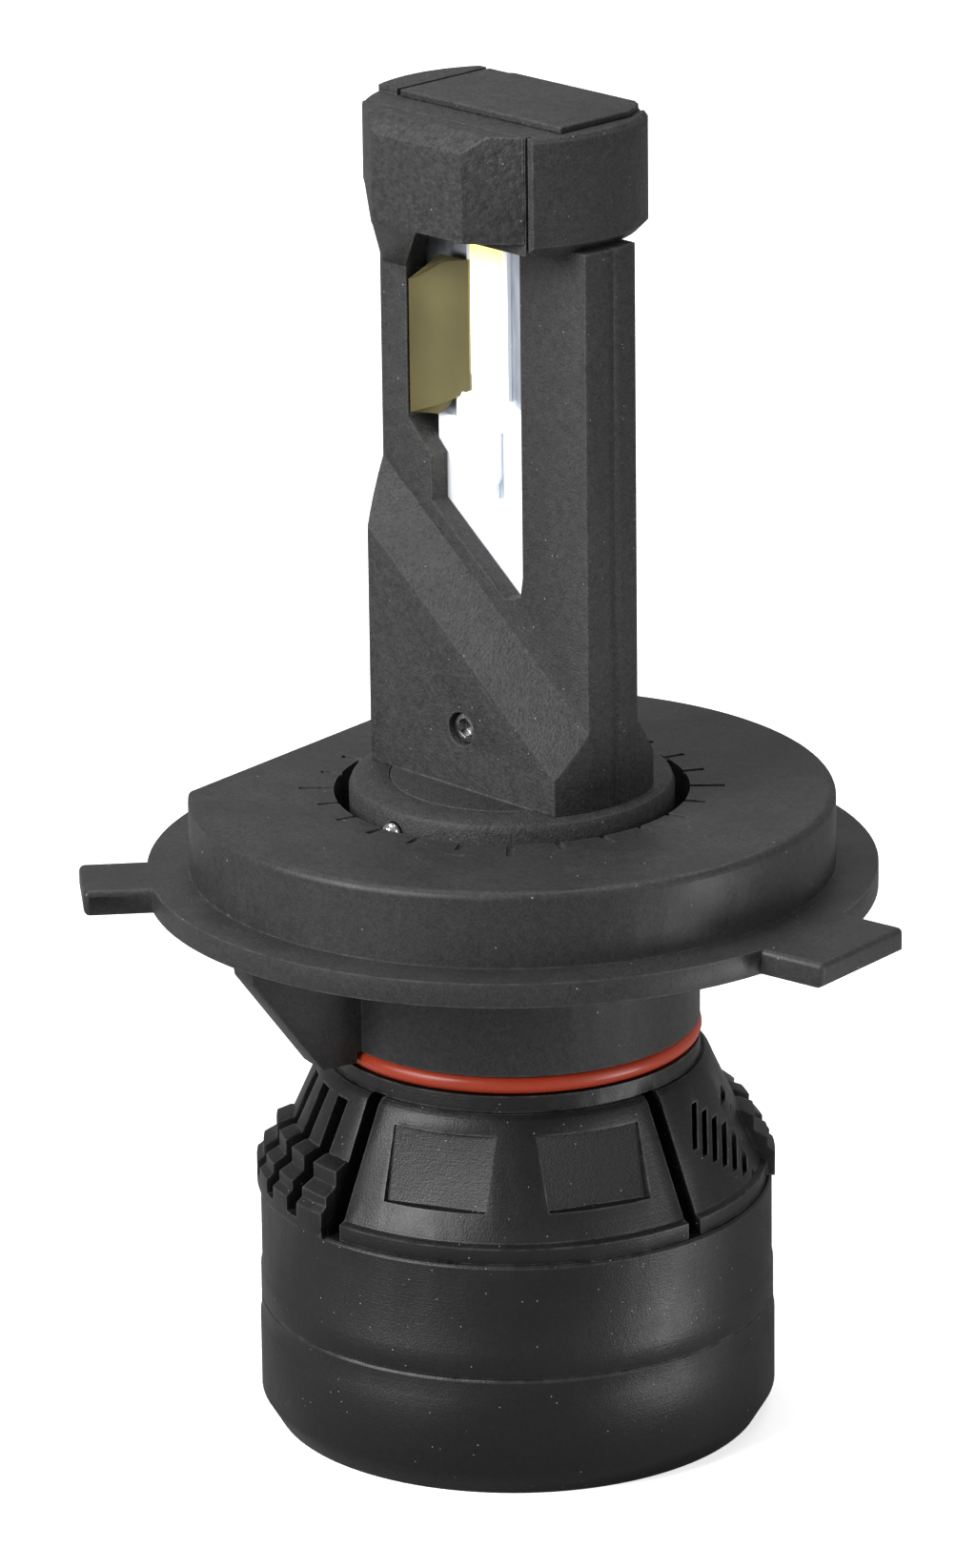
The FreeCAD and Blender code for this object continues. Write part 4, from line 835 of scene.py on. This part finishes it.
class BULB_OT_stage(bpy.types.Operator):
    """Sets the floor, the lights and the camera"""
    bl_idname = "bulb.stage"
    bl_label = "Stage"

    def execute(self, context):
        stage = context.scene.bulb_stage
        half = stage.floor
        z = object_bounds()[0][2]
        mesh = bpy.data.meshes.new("floor")
        mesh.from_pydata([(-half, -half, z), (half, -half, z), (half, half, z), (-half, half, z)], [],
                         [(0, 1, 2, 3)])
        floor = bpy.data.objects.new("floor", mesh)
        context.scene.collection.objects.link(floor)
        tree, skin = new_finish("floor", "Pale floor", Roughness=0.9, Specular_IOR_Level=0.1)
        seen = put(tree, "LightPath").outputs["Is Camera Ray"]
        tree.links.new(blended(tree, seen, (0.35, 0.35, 0.35), (0.96, 0.96, 0.96)), skin.inputs["Base Color"])
        tree.links.new(blended(tree, seen, (0, 0, 0), (1, 1, 1)), skin.inputs["Emission Color"])
        skin.inputs["Emission Strength"].default_value = 0.55
        mesh.materials.append(FINISHES["floor"])
        floor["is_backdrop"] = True

        world = bpy.data.worlds.new("Studio")
        context.scene.world = world
        world.use_nodes = True
        world.node_tree.nodes["Background"].inputs[0].default_value = (1, 1, 1, 1)
        world.node_tree.nodes["Background"].inputs[1].default_value = stage.sky
        context.scene.view_settings.view_transform = "Standard"

        for name, azimuth, elevation, reach, size, height in LAMPS:
            turn, lift = math.radians(azimuth - CAMERA_TURN), math.radians(elevation)
            place = reach * Vector((math.cos(lift) * math.cos(turn), math.cos(lift) * math.sin(turn),
                                    math.sin(lift)))
            lamp = bpy.data.lights.new(name, "AREA")
            lamp.shape = "RECTANGLE"
            lamp.size, lamp.size_y = size
            lamp.energy = getattr(stage, name.lower())
            thing = bpy.data.objects.new(name, lamp)
            thing.location = place
            thing.visible_camera = False
            towards = Vector((0, 0, height)) - place
            thing.rotation_euler = towards.to_track_quat("-Z", "Y").to_euler()
            context.scene.collection.objects.link(thing)

        camera = bpy.data.cameras.new("Camera")
        camera.lens = stage.lens
        camera.clip_start = 0.01
        camera.clip_end = 20
        eye, aim = Vector(stage.eye), Vector(stage.aim)
        ahead = (aim - eye).normalized()
        right = ahead.cross(Vector((0, 0, 1))).normalized()
        up = right.cross(ahead)
        cosine, sine = math.cos(stage.roll), math.sin(stage.roll)
        right, up = right * cosine + up * sine, up * cosine - right * sine
        thing = bpy.data.objects.new("Camera", camera)
        thing.matrix_world = Matrix.Translation(eye) @ Matrix((right, up, -ahead)).transposed().to_4x4()
        context.scene.collection.objects.link(thing)
        context.scene.camera = thing
        return {"FINISHED"}


class BULB_PT_panel(bpy.types.Panel):
    """The bulb's operators"""
    bl_label = "Headlight bulb"
    bl_idname = "BULB_PT_panel"
    bl_space_type = "VIEW_3D"
    bl_region_type = "UI"
    bl_category = "Bulb"

    def draw(self, context):
        for operator in OPERATORS:
            self.layout.operator(operator.bl_idname)


OPERATORS = (BULB_OT_finishes, BULB_OT_castings, BULB_OT_seal, BULB_OT_emitters, BULB_OT_screws, BULB_OT_fan,
             BULB_OT_driver, BULB_OT_stage)
GROUP_CLASSES = (("bulb_sizes", BulbSizes), ("bulb_finish", BulbFinish), ("bulb_stage", BulbStage))


def register():
    for name, made in GROUP_CLASSES:
        bpy.utils.register_class(made)
        setattr(bpy.types.Scene, name, PointerProperty(type=made))
    for made in (*OPERATORS, BULB_PT_panel):
        bpy.utils.register_class(made)


def unregister():
    for made in (BULB_PT_panel, *reversed(OPERATORS)):
        bpy.utils.unregister_class(made)
    for name, made in reversed(GROUP_CLASSES):
        delattr(bpy.types.Scene, name)
        bpy.utils.unregister_class(made)


def main():
    register()
    for operator in OPERATORS:
        group, name = operator.bl_idname.split(".")
        getattr(getattr(bpy.ops, group), name)()


if __name__ == "__main__":
    main()
